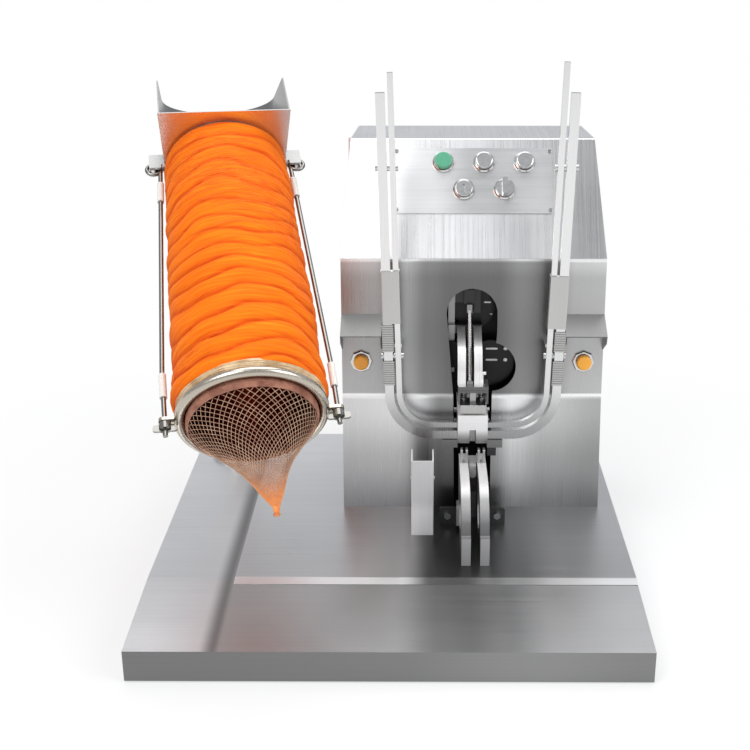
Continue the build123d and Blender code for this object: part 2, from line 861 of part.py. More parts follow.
def make_head():
    head_back_y = bearing_front_y - bearing_plate / 2
    x0 = cab_x - head_half
    x1 = cab_x + head_half
    profile = [
        (head_front_y, head_top_z),
        (head_back_y, head_top_z),
        (head_back_y, head_low_z),
        (head_front_y, head_low_z),
    ]
    head = along_x(profile, x0, x1)
    head = fillet(head.edges().filter_by(Axis.X).group_by(Axis.Z)[0].sort_by(Axis.Y)[:1], head_curve)
    channel = punch_channel(head_low_z - 5, head_top_z + 5)
    mouth = block(cab_x - head_channel / 2, cab_x + head_channel / 2, head_front_y - 5, punch_y,
                  head_low_z - 5, head_low_z + head_mouth_high)
    head = head - channel - mouth
    for side in (-1, 1):
        for low, wide, deep in (
            (outer_low_z, outer_bar_wide, outer_bar_deep),
            (inner_low_z, inner_bar_wide, inner_bar_deep),
        ):
            seat = sorted((cab_x + side * (head_half - 0.05), cab_x + side * (head_half + 5)))
            head -= block(seat[0], seat[1], rail_y - deep / 2, rail_y + deep / 2,
                          low - wide / 2, low + wide / 2)
    for side in (-1, 1):
        head -= bar((cab_x + side * guide_x, guide_y, head_top_z - guide_sunk),
                    (cab_x + side * guide_x, guide_y, head_top_z + 1), guide_radius)
    parts["head_block"] = head

    cap = block(cab_x - cap_plate_half, cab_x + cap_plate_half, head_front_y + 1, cap_plate_back_y,
                cap_plate_low_z, cap_plate_high_z)
    cap = fillet(cap.edges().filter_by(Axis.X).group_by(Axis.Z)[-1].sort_by(Axis.Y)[:1], 1.5)
    cap -= punch_channel(cap_plate_low_z - 5, cap_plate_high_z + 5)
    spacers = []
    posts = []
    for side in (-1, 1):
        x = cab_x + side * guide_x
        cap -= bar((x, guide_y, cap_plate_low_z - 1), (x, guide_y, cap_plate_high_z + 1), guide_radius)
        spacer = bar((x, guide_y, head_top_z), (x, guide_y, cap_plate_low_z), spacer_radius)
        spacer -= bar((x, guide_y, head_top_z - 1), (x, guide_y, cap_plate_low_z + 1), guide_radius)
        spacers.append(spacer)
        post = bar((x, guide_y, head_top_z - guide_sunk), (x, guide_y, guide_top_z), guide_radius)
        posts.append(post)
    parts["head_cap_plate"] = cap
    parts["cap_spacers"] = group(spacers)
    parts["ram_guide_pins"] = group(posts)

    bars = []
    for side in (-1, 1):
        xs = sorted((cab_x + side * head_half, cab_x + side * (head_half + side_bar_long)))
        bars.append(block(xs[0], xs[1], rail_y - side_bar_deep / 2, rail_y + side_bar_deep / 2,
                          side_bar_top() - side_bar_high, side_bar_top()))
    parts["head_side_bars"] = group(bars)

    screws = []
    for z in (head_top_z - 8, head_top_z - 24):
        screws.append(hex_bolt((x1, head_back_y - 50, z), (1, 0, 0), 7, 4, 2, 8))
        screws.append(hex_bolt((x0, head_back_y - 50, z), (-1, 0, 0), 7, 4, 2, 8))
    for side in (-1, 1):
        spot = (cab_x + side * cap_plate_half, guide_y + 9, cap_plate_low_z + 6)
        screws.append(hex_bolt(spot, (side, 0, 0), 5, 0.4, 1.5, 5))
    parts["head_screws"] = group(screws)


def make_ram():
    cross = block(cab_x - head_half, cab_x + head_half, head_front_y + 1, cap_plate_back_y,
                  cross_low, cross_high)
    for side in (-1, 1):
        xs = sorted((cab_x + side * head_half, cab_x + side * (head_half - skirt_wall)))
        cross += block(xs[0], xs[1], head_front_y + 1, cap_plate_back_y, skirt_low, cross_low)
        x = cab_x + side * guide_x
        cross -= bar((x, guide_y, cross_low - 1), (x, guide_y, cross_high + 1), guide_radius + guide_clear)
    groove = block(cab_x - head_half - 1, cab_x + head_half + 1, head_front_y, head_front_y + 2,
                   cross_low + 3, cross_low + 4.2)
    cross -= groove
    parts["crosshead"] = cross

    punch = block(cab_x - punch_width / 2, cab_x + punch_width / 2, punch_y - punch_thick / 2,
                  punch_y + punch_thick / 2, punch_low_z, cross_low)
    parts["punch"] = punch

    for word, x in (("left", arm_left_x), ("right", arm_right_x)):
        start = Vector(cab_x + x, arm_foot_y, cross_high)
        knee = Vector(cab_x + x, arm_foot_y, cross_high + arm_knee)
        finish = Vector(cab_x + x, arm_top_y, arm_top_z)
        beyond = finish + (finish - knee).normalized() * arm_thick
        path = FilletPolyline(start, knee, beyond, radius=arm_bend)
        section = Plane(origin=start, x_dir=(1, 0, 0), z_dir=(0, 0, 1)) * Rectangle(arm_width, arm_thick)
        arm = sweep(section, path=path)
        arm -= block(cab_x + x - arm_width, cab_x + x + arm_width, arm_top_y, arm_top_y + 60,
                     cross_high + 10, arm_top_z + 60)
        if word == "right":
            side_x = cab_x + x + arm_width / 2
            arm += bar((side_x - 1, arm_foot_y, arm_pin_z), (side_x + arm_pin_long, arm_foot_y, arm_pin_z),
                       arm_pin_radius)
        parts["press_arm_" + word] = arm

    low = Vector(cab_x + rod_x, rod_low_y, cross_high)
    high = Vector(cab_x + rod_x, rod_high_y, rod_high_z)
    axis = (high - low).normalized()
    rod = bar(tuple(low + axis * 3), tuple(high), rod_radius)
    turns = int((high - low).length * 0.6 / 3)
    for n in range(turns):
        mid = low + axis * (14 + n * 3)
        rod += bar(tuple(mid), tuple(mid + axis * 1.5), rod_radius + 0.5)
    foot = Pos(cab_x + rod_x, rod_low_y + 2, cross_high + 3) * Box(8, 10, 6)
    knuckle = Pos(cab_x + rod_x, rod_high_y, rod_high_z) * Box(7, 9, 12)
    parts["adjusting_rod"] = rod + foot + knuckle


def make_ram_drive():
    """The slider behind the slot, its roller under the cam, and the springs that lift the ram."""
    half = slider_wide / 2
    back = slider_y + slider_deep / 2
    front = slider_y - slider_deep / 2
    left = cab_x + slider_x - half
    right = cab_x + slider_x + half
    carriage = block(left, right, front, back, slider_low_z, slider_high_z)
    bridge_right = cab_x + arm_right_x + arm_width / 2 + 1
    carriage += block(left, bridge_right, arm_top_y, back, bridge_low_z, bridge_high_z)
    carriage += block(left, cab_x + 2, front, back, anchor_low_z, slider_high_z)
    carriage += block(cab_x - 12, cab_x + 2, anchor_front_y, back, anchor_low_z, slider_high_z)
    carriage += block(cab_x + 2, cab_x + 11, front, back - 1, anchor_low_z - 15, slider_high_z - 1)
    roller_z = cam_z - cam_small - roller_radius - roller_gap
    roller_front = cam_y - cam_thick / 2
    roller_back = cam_y + cam_thick / 2
    roller_x = cab_x + cam_x
    carriage += bar((roller_x, back - 1, roller_z), (roller_x, roller_back + 0.5, roller_z),
                    roller_bore - shaft_clear)
    parts["ram_carriage"] = carriage
    roller = bar((roller_x, roller_front, roller_z), (roller_x, roller_back, roller_z), roller_radius)
    roller -= bar((roller_x, roller_front - 1, roller_z), (roller_x, roller_back + 1, roller_z),
                  roller_bore)
    parts["cam_roller"] = roller

    springs = []
    height = cross_low - cap_plate_high_z
    rise = height - 2 * spring_wire
    for side in (-1, 1):
        helix = Helix(pitch=rise / spring_turns, height=rise, radius=spring_radius)
        section = Plane(origin=helix @ 0, z_dir=helix % 0) * Circle(spring_wire)
        coil = sweep(section, path=helix, is_frenet=True)
        springs.append(Pos(cab_x + side * guide_x, guide_y, cap_plate_high_z + spring_wire) * coil)
    parts["ram_springs"] = group(springs)


def cam_face():
    """Heart cam: the radius grows evenly with the angle, from the roller round to the far side and back."""
    steps = 48
    points = []
    for n in range(steps + 1):
        turn = math.pi * n / steps
        radius = cam_small + ram_travel * turn / math.pi
        points.append((radius * math.sin(turn), -radius * math.cos(turn)))
    right_side = Spline(*points)
    left_side = Spline(*[(-x, z) for x, z in points])
    return make_face(Curve() + [right_side, left_side])


def gear_face(teeth, start_angle):
    """Spur gear outline with straight-flanked teeth and some backlash."""
    pitch = gear_module * teeth / 2
    root = pitch - 1.25 * gear_module
    tip = pitch + 0.9 * gear_module
    step = 360 / teeth
    points = []
    for n in range(teeth):
        middle = start_angle + n * step
        for radius, share in ((root, -0.36), (tip, -0.12), (tip, 0.12), (root, 0.36)):
            angle = math.radians(middle + share * step)
            points.append((radius * math.cos(angle), radius * math.sin(angle)))
    return make_face(Polyline(*points, close=True))


def gear_teeth():
    distance = math.hypot(disc_x - cam_x, disc_z - cam_z)
    return round(distance / gear_module)


def recess(x, face_y, z, length, high):
    """A round-ended slot sunk into a face that looks to the front."""
    place = Plane(origin=(x, face_y, z), x_dir=(1, 0, 0), z_dir=(0, -1, 0))
    return extrude(place * SlotOverall(length, high), -recess_deep)


def shaft_bar(spot, y0, y1, radius):
    """A round bar along Y about a shaft's (x, z) place."""
    return bar((spot[0], y0, spot[1]), (spot[0], y1, spot[1]), radius)


def make_drive():
    cam_spot = (cab_x + cam_x, cam_z)
    disc_spot = (cab_x + disc_x, disc_z)
    front_face = bearing_front_y - bearing_plate / 2
    front_back = bearing_front_y + bearing_plate / 2
    rear_face = bearing_rear_y - bearing_plate / 2
    rear_back = bearing_rear_y + bearing_plate / 2

    cam_front = Plane(origin=(cam_spot[0], cam_y - cam_thick / 2, cam_spot[1]), x_dir=(1, 0, 0),
                      z_dir=(0, -1, 0))
    cam = extrude(cam_front * cam_face(), -cam_thick)
    cam_back = cam_y + cam_thick / 2
    plate_low = cam_back + cam_disc_gap
    plate_high = plate_low + cam_disc_thick
    cam += shaft_bar(cam_spot, cam_back - 1, plate_high, cam_hub_radius)
    cam += shaft_bar(cam_spot, plate_low, plate_high, cam_disc_radius)
    cam -= shaft_bar(cam_spot, cam_y - 20, cam_y + 20, shaft_radius)
    cam -= recess(cam_spot[0] + 22, cam_y - cam_thick / 2, cam_spot[1] + 9, 10, 3)
    cam -= recess(cam_spot[0] + 25.5, plate_low, cam_spot[1] - 11, 9, 3)
    parts["press_cam"] = cam

    line = math.degrees(math.atan2(disc_spot[1] - cam_spot[1], disc_spot[0] - cam_spot[0]))
    teeth = gear_teeth()
    step = 360 / teeth
    gears = (
        ("cam_gear_shaft", cam_spot, cam_y - cam_thick / 2 - 1, rear_back + 4, line),
        ("timing_gear_shaft", disc_spot, disc_y, rear_back + gearbox_bore_deep - 2, line + 180 + step / 2),
    )
    for name, spot, start, end, angle in gears:
        face = Plane(origin=(spot[0], gear_y - gear_wide / 2, spot[1]), x_dir=(1, 0, 0), z_dir=(0, -1, 0))
        gear = extrude(face * gear_face(teeth, angle), -gear_wide)
        gear += shaft_bar(spot, start, end, shaft_radius)
        parts[name] = gear

    disc_face = disc_y - disc_thick / 2
    disc = shaft_bar(disc_spot, disc_face, disc_face + disc_thick, disc_radius)
    disc -= shaft_bar(disc_spot, disc_y, disc_y + 20, shaft_radius)
    for rise in (recess_low, recess_low + recess_rise):
        disc -= recess(disc_spot[0] + recess_x, disc_face, disc_spot[1] + rise, recess_long, recess_high)
        dot = (disc_spot[0] + recess_dot_x, disc_spot[1] + rise)
        disc -= shaft_bar(dot, disc_face - 1, disc_face + recess_deep, recess_dot_radius)
    parts["timing_disc"] = disc

    plates = []
    for low, high in ((front_face, front_back), (rear_face, rear_back)):
        plate = block(cab_x + bearing_plate_left, cab_x + bearing_plate_right, low, high,
                      base_top_z, bearing_plate_top)
        for spot in (cam_spot, disc_spot):
            plate -= shaft_bar(spot, low - 1, high + 1, bearing_radius + shaft_clear)
        plates.append(plate)
    ties = []
    for x in (bearing_plate_left + 12, bearing_plate_right - 12):
        for z in (base_top_z + 22, bearing_plate_top - 12):
            ties.append(bar((cab_x + x, front_back, z), (cab_x + x, rear_face, z), 6))
    guide_low = slider_low_z + 8
    guide_high = bridge_low_z - ram_travel - 1
    wall = 5
    x0 = cab_x + slider_x - slider_wide / 2
    x1 = cab_x + slider_x + slider_wide / 2
    guide = block(x0 - wall, x1 + wall, slider_y - slider_deep / 2 - wall, front_face, guide_low, guide_high)
    guide -= block(x0 - slider_clear, x1 + slider_clear, slider_y - slider_deep / 2 - slider_clear,
                   slider_y + slider_deep / 2 + slider_clear, guide_low - 1, guide_high + 1)
    parts["drive_frame"] = group([*plates, *ties, guide])

    rings = []
    for middle in (bearing_front_y, bearing_rear_y):
        for spot in (cam_spot, disc_spot):
            low = middle - bearing_wide / 2
            high = middle + bearing_wide / 2
            bore = shaft_bar(spot, low, high, shaft_radius + shaft_clear)
            rings.append(shaft_bar(spot, low, high, bearing_radius) - bore)
    parts["shaft_bearings"] = group(rings)

    side = gearbox_side / 2
    box = block(disc_spot[0] - side, disc_spot[0] + side, rear_back, rear_back + gearbox_length,
                disc_spot[1] - side, disc_spot[1] + side)
    box = fillet(box.edges().filter_by(Axis.Y), 8)
    box -= shaft_bar(disc_spot, rear_back - 1, rear_back + gearbox_bore_deep, shaft_radius + shaft_clear)
    box -= shaft_bar(cam_spot, rear_back - 1, rear_back + 6, shaft_radius + 2)
    motor_start = rear_back + gearbox_length
    motor = shaft_bar(disc_spot, motor_start, motor_start + motor_length, motor_radius)
    parts["gearmotor"] = group([box, motor])


# Lower jaw and the box beside it

def make_jaw():
    bend_low_z = jaw_top_z - jaw_bend
    for side, word in ((-1, "left"), (1, "right")):
        inner = cab_x + jaw_x + side * jaw_gap / 2
        outer = inner + side * jaw_wide
        xs = sorted((inner, outer))
        diagonal = jaw_bend * math.sqrt(0.5)
        corner = (jaw_front_y + jaw_bend - diagonal, bend_low_z + diagonal)
        outline = Curve() + [
            Line((jaw_back_y, base_top_z), (jaw_back_y, jaw_top_z)),
            Line((jaw_back_y, jaw_top_z), (jaw_front_y + jaw_bend, jaw_top_z)),
            ThreePointArc((jaw_front_y + jaw_bend, jaw_top_z), corner, (jaw_front_y, bend_low_z)),
            Line((jaw_front_y, bend_low_z), (jaw_front_y, base_top_z)),
            Line((jaw_front_y, base_top_z), (jaw_back_y, base_top_z)),
        ]
        plate = extrude(Plane.YZ.offset(xs[0]) * make_face(outline), xs[1] - xs[0])
        hole_y = jaw_front_y + jaw_bend
        hole_z = (jaw_top_z + base_top_z) / 2 - 2
        plate -= bar((xs[0] - 1, hole_y, hole_z), (xs[1] + 1, hole_y, hole_z), jaw_hole)
        plate += block(xs[0], xs[1], jaw_front_y - pad_thick, jaw_front_y, base_top_z, base_top_z + pad_high)
        if word == "left":
            side_y = hole_y + jaw_hole
            plate += block(xs[0] - side_plate_thick, xs[0], side_y, side_y + side_plate_long,
                           side_plate_low_z, side_plate_high_z)
        parts["jaw_plate_" + word] = plate

    x0 = cab_x + jaw_x - jaw_gap / 2
    x1 = cab_x + jaw_x + jaw_gap / 2
    parts["jaw_web"] = block(x0, x1, web_front, jaw_back_y, base_top_z, jaw_top_z - 3)
    half = die_radius
    die_low = jaw_top_z - die_long + half
    die = block(cab_x + jaw_x - half, cab_x + jaw_x + half, die_front, web_front, die_low, jaw_top_z - 2)
    die += bar((cab_x + jaw_x, die_front, die_low), (cab_x + jaw_x, web_front, die_low), half)
    parts["clip_die"] = die

    fingers = []
    for x in (-finger_outer, -finger_inner, finger_inner, finger_outer):
        mid = cab_x + jaw_x + x
        finger = block(mid - finger_wide / 2, mid + finger_wide / 2, finger_y - finger_deep / 2,
                       finger_y + finger_deep / 2, jaw_top_z, jaw_top_z + finger_high)
        fingers.append(fillet(finger.edges().filter_by(Axis.X).group_by(Axis.Z)[-1].sort_by(Axis.Y)[:1], 2))
    parts["guide_fingers"] = group(fingers)

    tabs = []
    for side in (-1, 1):
        near = cab_x + jaw_x + side * (jaw_gap / 2 + jaw_wide)
        far = near + side * (foot_tab_wide + 5)
        xs = sorted((near, far))
        tab = block(xs[0], xs[1], foot_tab_y, foot_tab_y + foot_tab_sheet,
                    base_top_z, base_top_z + foot_tab_high)
        corner = tab.edges().filter_by(Axis.Y).group_by(Axis.Z)[-1].sort_by(Axis.X)[:: 1 if side < 0 else -1]
        tab = fillet(corner[:1], 4)
        tab += block(xs[0], xs[1], foot_tab_y, foot_tab_y + foot_tab_leg,
                     base_top_z, base_top_z + foot_tab_sheet)
        tabs.append(tab)
        spot = (far - side * foot_tab_wide / 2, foot_tab_y, base_top_z + foot_tab_high * 0.55)
        frame_bolts.append(hex_bolt(spot, (0, -1, 0), 9, 4, 2.5, 5))
        spot = (far - side * foot_tab_wide / 2, foot_tab_y + foot_tab_leg * 0.65, base_top_z + foot_tab_sheet)
        frame_bolts.append(hex_bolt(spot, (0, 0, 1), 10, hex_height, bolt_radius, 10))
    parts["jaw_brackets"] = group(tabs)


def make_switch_box():
    x = cab_x + switch_box_x
    half = switch_box_wide / 2
    back = switch_box_y + switch_box_deep
    top = base_top_z + switch_box_high
    sheet = switch_box_sheet
    cover = block(x - half, x + half, switch_box_y, back, base_top_z, top)
    cover -= block(x - half + sheet, x + half - sheet, switch_box_y + sheet, back + 1,
                   base_top_z - 1, top + 1)
    parts["switch_box_cover"] = fillet(cover.edges().filter_by(Axis.Z).group_by(Axis.Y)[0], 1.2)

    body = block(x - 9, x + 9, switch_box_y + 9, back - 4, base_top_z, top - 28)
    body += bar((x, switch_box_y + 18, top - 28), (x, switch_box_y + 18, top - 20), 4)
    bar_x = cab_x + head_half + 0.5
    low = side_bar_top() - side_bar_high
    sensor = block(bar_x, bar_x + sensor_side, rail_y - sensor_side / 2, rail_y + sensor_side / 2,
                   low - sensor_side, low)
    parts["position_sensors"] = group([body, sensor])
    for side in (-1, 1):
        spot = (x + side * half, switch_box_y + 18, base_top_z + 77)
        cover_screws.append(pan_screw(spot, (side, 0, 0), 3.5, 2, 1.4, 7))


# Net tube

def tube_plane():
    """Local frame of the tube: X to the side, Y up across the axis, Z along the axis towards the mouth."""
    heading = math.radians(tube_heading)
    dip = math.radians(tube_dip)
    axis = Vector(math.sin(heading) * math.cos(dip), -math.cos(heading) * math.cos(dip), -math.sin(dip))
    side = Vector(math.cos(heading), math.sin(heading), 0)
    return Plane(origin=Vector(mouth_x, mouth_y, mouth_z) - axis * tube_length, x_dir=side, z_dir=axis)


def ring_solid(outer, inner, low, high):
    middle = (low + high) / 2
    return Pos(0, 0, middle) * (Cylinder(outer, high - low) - Cylinder(inner, high - low + 2))


def hopper_section(half_top, radius, top):
    outline = make_face(Polyline((-radius, 0), (-half_top, top), (half_top, top), (radius, 0), close=True))
    return outline + Circle(radius)


def make_tube():
    place = tube_plane()
    tube = ring_solid(tube_radius, tube_radius - tube_wall, -hopper_sheet, tube_length + tube_past)
    parts["net_tube"] = place * tube

    sheet = hopper_sheet
    outside = extrude(hopper_section(hopper_half_top, hopper_radius, plate_top), -hopper_long)
    inside = hopper_section(hopper_half_top - sheet, hopper_radius - sheet, plate_top + 4)
    inside = extrude(inside, -hopper_long)
    scoop = outside - Pos(0, 0, -sheet) * inside
    scoop += extrude(hopper_section(plate_half_top, hopper_radius, plate_top), -sheet)
    scoop -= Pos(0, 0, -sheet) * Cylinder(tube_radius + 0.05, 4 * sheet)
    above = Plane.YZ.offset(-2 * rod_offset) * make_face(
        Polyline(
            (plate_top, -sheet),
            (hopper_peak, -hopper_peak_run),
            (-hopper_back, -hopper_long),
            (-2 * hopper_radius, -hopper_long - 5),
            (3 * plate_top, -hopper_long - 5),
            (3 * plate_top, -sheet),
            close=True,
        )
    )
    scoop -= extrude(above, 4 * rod_offset)
    eye_x = tie_top_offset + eye_radius
    pin_run = eye_run - (eye_radius - eye_wire - eye_pin_radius - 0.2)
    clevis = 8
    for side in (-1, 1):
        root = sorted((side * (hopper_radius - 0.7), side * (eye_x + eye_pin_radius + 1)))
        tip = sorted((side * (tie_top_offset - 1), side * (eye_x + eye_pin_radius + 1)))
        for low in (clevis - clevis_wall, -clevis):
            scoop += block(root[0], root[1], low, low + clevis_wall, -2 * clevis, net_start - 1)
            scoop += block(tip[0], tip[1], low, low + clevis_wall, 0, pin_run + eye_pin_radius + 1)
        scoop += Pos(side * eye_x, 0, pin_run) * Rot(90, 0, 0) * Cylinder(eye_pin_radius, 2 * clevis - 1)
    parts["hopper"] = place * scoop

    rods = []
    sleeves = []
    bend_run = tube_length - tie_straight
    for side in (-1, 1):
        top = (side * tie_top_offset, 0, eye_run)
        bend = (side * rod_offset, 0, bend_run)
        rod = Pos(side * eye_x, 0, eye_run) * Rot(90, 0, 0) * Torus(eye_radius, eye_wire)
        rod += bar(top, bend, tie_radius)
        rod += Pos(*bend) * Sphere(tie_radius)
        rod += bar(bend, (side * rod_offset, 0, tube_length + tie_past), tie_radius)
        rods.append(place * rod)
        leaning = Plane(origin=top, z_dir=Vector(*bend) - Vector(*top))
        bore = tie_radius + sleeve_wall_clear
        upper = ring_solid(sleeve_radius, bore, 3 * eye_radius, 3 * eye_radius + sleeve_long)
        sleeves.append(place * leaning * upper)
        lower = ring_solid(sleeve_radius, bore, bend_run + 4, bend_run + 4 + sleeve_long)
        sleeves.append(place * Pos(side * rod_offset, 0, 0) * lower)
    parts["tie_rods"] = group(rods)
    parts["rod_sleeves"] = group(sleeves)

    ring = Pos(0, 0, tube_length) * Torus(ring_radius, ring_wire)
    lug_low = tube_length - lug_thick / 2
    lug_high = tube_length + lug_thick / 2
    for side in (-1, 1):
        xs = sorted((side * (ring_radius + 2), side * (rod_offset + 7)))
        lug = block(xs[0], xs[1], -8, 8, lug_low, lug_high)
        lug = fillet(lug.edges().filter_by(Axis.Z).sort_by(Axis.X)[:: 1 if side < 0 else -1][:2], 5)
        ring += lug
    rod_hole = Cylinder(tie_radius + sleeve_wall_clear, 4 * lug_thick)
    for side in (-1, 1):
        ring -= Pos(side * rod_offset, 0, tube_length) * rod_hole
    parts["mouth_ring"] = place * ring

    for side, word in ((-1, "left"), (1, "right")):
        low = lug_high + 0.2
        nut = Pos(0, 0, low + nut_long / 2) * Cylinder(nut_hub, nut_long)
        for wing in (-1, 1):
            middle = Pos(wing * (wing_span + 3) / 2, 0, low + nut_long * 0.75)
            blade = middle * Box(wing_span - 1, wing_thick, nut_long)
            nut += fillet(blade.edges().filter_by(Axis.Y), 3.5)
        nut -= Pos(0, 0, low + 5) * Cylinder(tie_radius + shaft_clear, 40)
        parts["wing_nut_" + word] = place * Pos(side * rod_offset, 0, 0) * nut

    inner = tube_radius + net_clear
    end = tube_length - ring_wire - 1
    outline = [
        (inner, net_start),
        (net_rear_radius, net_start),
        (net_rear_radius + 0.45 * (net_front_radius - net_rear_radius), tube_length * 0.5),
        (net_front_radius, end - 26),
        (net_front_radius - 1.5, end - 8),
        (ring_radius, end),
        (inner, end),
    ]
    profile = Plane.XZ * make_face(Polyline(*outline, close=True))
    parts["net_sleeve"] = place * revolve(profile, Axis.Z)

    mouth = tube_length + tube_past + tail_gap
    rim = Pos(0, 0, mouth) * Circle(tube_radius - 0.5)
    knot = place.to_local_coords(Vector(mouth_x + tail_x, mouth_y - tail_forward, mouth_z - tail_drop))
    tip = Plane(origin=knot, z_dir=(-0.1, -0.8, 0.6)) * Circle(tail_tip)
    pouch = loft([rim, tip])
    parts["net_tail"] = place * pouch

    make_stand(place)


def make_stand(place):
    """A post on the base's left side, with a half-round saddle under the hopper."""
    start = -saddle_start
    end = -saddle_start - saddle_long
    outer = hopper_radius + saddle_thick
    saddle = ring_solid(outer, hopper_radius + 0.1, end, start)
    reach = 2 * outer
    angle = math.radians(90 - saddle_half_angle)
    keep = make_face(
        Polyline((0, 0), (reach * math.cos(angle), -reach * math.sin(angle)),
                 (-reach * math.cos(angle), -reach * math.sin(angle)), close=True)
    )
    saddle = saddle & (Pos(0, 0, end - 5) * extrude(keep, saddle_long + 10))
    saddle = place * saddle
    bottom = place.from_local_coords(Vector(0, -outer, (start + end) / 2))
    top = bottom.Z
    post = bar((bottom.X, bottom.Y, base_flange_height), (bottom.X, bottom.Y, top), post_radius)
    post -= bar((bottom.X, bottom.Y, base_flange_height + post_foot_thick), (bottom.X, bottom.Y, top + 40),
                post_radius - post_wall)
    under = place * Pos(0, 0, (start + end) / 2) * Cylinder(outer - 0.5, 4 * saddle_long)
    tall = bar((bottom.X, bottom.Y, top - 60), (bottom.X, bottom.Y, top + 30), post_radius)
    tall -= bar((bottom.X, bottom.Y, top - 61), (bottom.X, bottom.Y, top + 31), post_radius - post_wall)
    tall -= under
    foot = bar((bottom.X, bottom.Y, base_flange_height),
               (bottom.X, bottom.Y, base_flange_height + post_foot_thick), post_foot_radius)
    stand = saddle + post + tall + foot - parts["hopper"]
    parts["tube_stand"] = stand.solids().sort_by(SortBy.VOLUME)[-1]
    for n in range(4):
        angle = math.radians(45 + 90 * n)
        spread = (post_radius + post_foot_radius) / 2
        spot = (bottom.X + spread * math.cos(angle), bottom.Y + spread * math.sin(angle),
                base_flange_height + post_foot_thick)
        frame_bolts.append(hex_bolt(spot, (0, 0, 1), 10, hex_height, 3, 12))


def share_node(name, *pieces):
    """Put like pieces into one node as separate solids."""
    solids = []
    for piece in pieces:
        solids.extend(parts.pop(piece).solids())
    parts[name] = group(solids)


def fit_round(name, *hosts):
    """Take one node's shape out of each host, so the two fit without overlap."""
    for host in hosts:
        parts[host] = group([parts[host] - parts[name]])


def join_nodes():
    share_node("button_hoods", "hood_left", "hood_right")
    share_node("button_bezels", "panel_bezels", "start_bezels")
    share_node("switch_blocks", "panel_switch_blocks", "start_switch_blocks")
    share_node("clip_sticks", "clips_left", "clips_right")
    share_node("rail_fasteners", "rail_cross_bolts", "rail_standoffs")
    share_node("ram_pins", "ram_guide_pins", "cap_spacers")
    share_node("press_arms", "press_arm_left", "press_arm_right")
    share_node("jaw_plates", "jaw_plate_left", "jaw_plate_right", "jaw_web")
    share_node("fixing_angles", "cabinet_angles", "jaw_brackets")
    for word in ("left", "right"):
        share_node("clip_rail_" + word, "clip_rail_" + word, "guide_bar_" + word)
    parts["cover_screws"] = group(cover_screws)
    share_node("small_screws", "rear_cover_screws", "panel_screws", "hood_screws", "head_screws",
               "cover_screws")
    parts["stand_bolts"] = group(frame_bolts)
    share_node("frame_bolts", "cabinet_bolts", "stand_bolts")
    fit_round("small_screws", "cabinet_shell", "rear_cover", "control_panel", "button_hoods", "head_block",
              "head_cap_plate", "switch_box_cover", "position_sensors")
    fit_round("frame_bolts", "base_shell", "tray_plate", "base_channels", "fixing_angles", "tube_stand")
    fit_round("cabinet_shell", "rail_fasteners")


make_base()
make_cabinet()
make_panel()
make_start_buttons()
make_hoods()
make_rails()
make_head()
make_ram()
make_ram_drive()
make_drive()
make_jaw()
make_switch_box()
make_tube()
join_nodes()

os.makedirs("parts", exist_ok=True)
for name, shape in parts.items():
    export_step(shape, "parts/" + name + ".step")
print(len(parts), "nodes")
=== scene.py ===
import math
import bpy
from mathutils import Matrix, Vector, noise


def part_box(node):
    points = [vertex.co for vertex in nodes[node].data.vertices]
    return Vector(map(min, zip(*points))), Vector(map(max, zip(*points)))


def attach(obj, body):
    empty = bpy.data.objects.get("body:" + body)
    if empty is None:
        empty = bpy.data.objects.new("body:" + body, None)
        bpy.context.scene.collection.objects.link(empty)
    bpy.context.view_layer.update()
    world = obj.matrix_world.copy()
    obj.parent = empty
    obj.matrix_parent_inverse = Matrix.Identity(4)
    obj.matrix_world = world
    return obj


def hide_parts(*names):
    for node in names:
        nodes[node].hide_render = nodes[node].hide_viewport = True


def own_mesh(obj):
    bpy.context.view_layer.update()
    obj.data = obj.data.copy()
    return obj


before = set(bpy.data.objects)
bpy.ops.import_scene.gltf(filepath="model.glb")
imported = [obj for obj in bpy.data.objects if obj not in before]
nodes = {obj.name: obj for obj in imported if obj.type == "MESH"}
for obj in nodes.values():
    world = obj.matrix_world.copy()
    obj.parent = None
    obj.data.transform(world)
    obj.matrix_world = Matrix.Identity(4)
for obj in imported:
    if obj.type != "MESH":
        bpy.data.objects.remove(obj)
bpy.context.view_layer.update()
scene = bpy.context.scene

# How far a surface's direction leans one way before it counts as facing that way, and when it does fully

turned_away = 0.6
square_on = 0.85
cabinet_fold_z = (0.2145, 0.2175)


# Node helpers

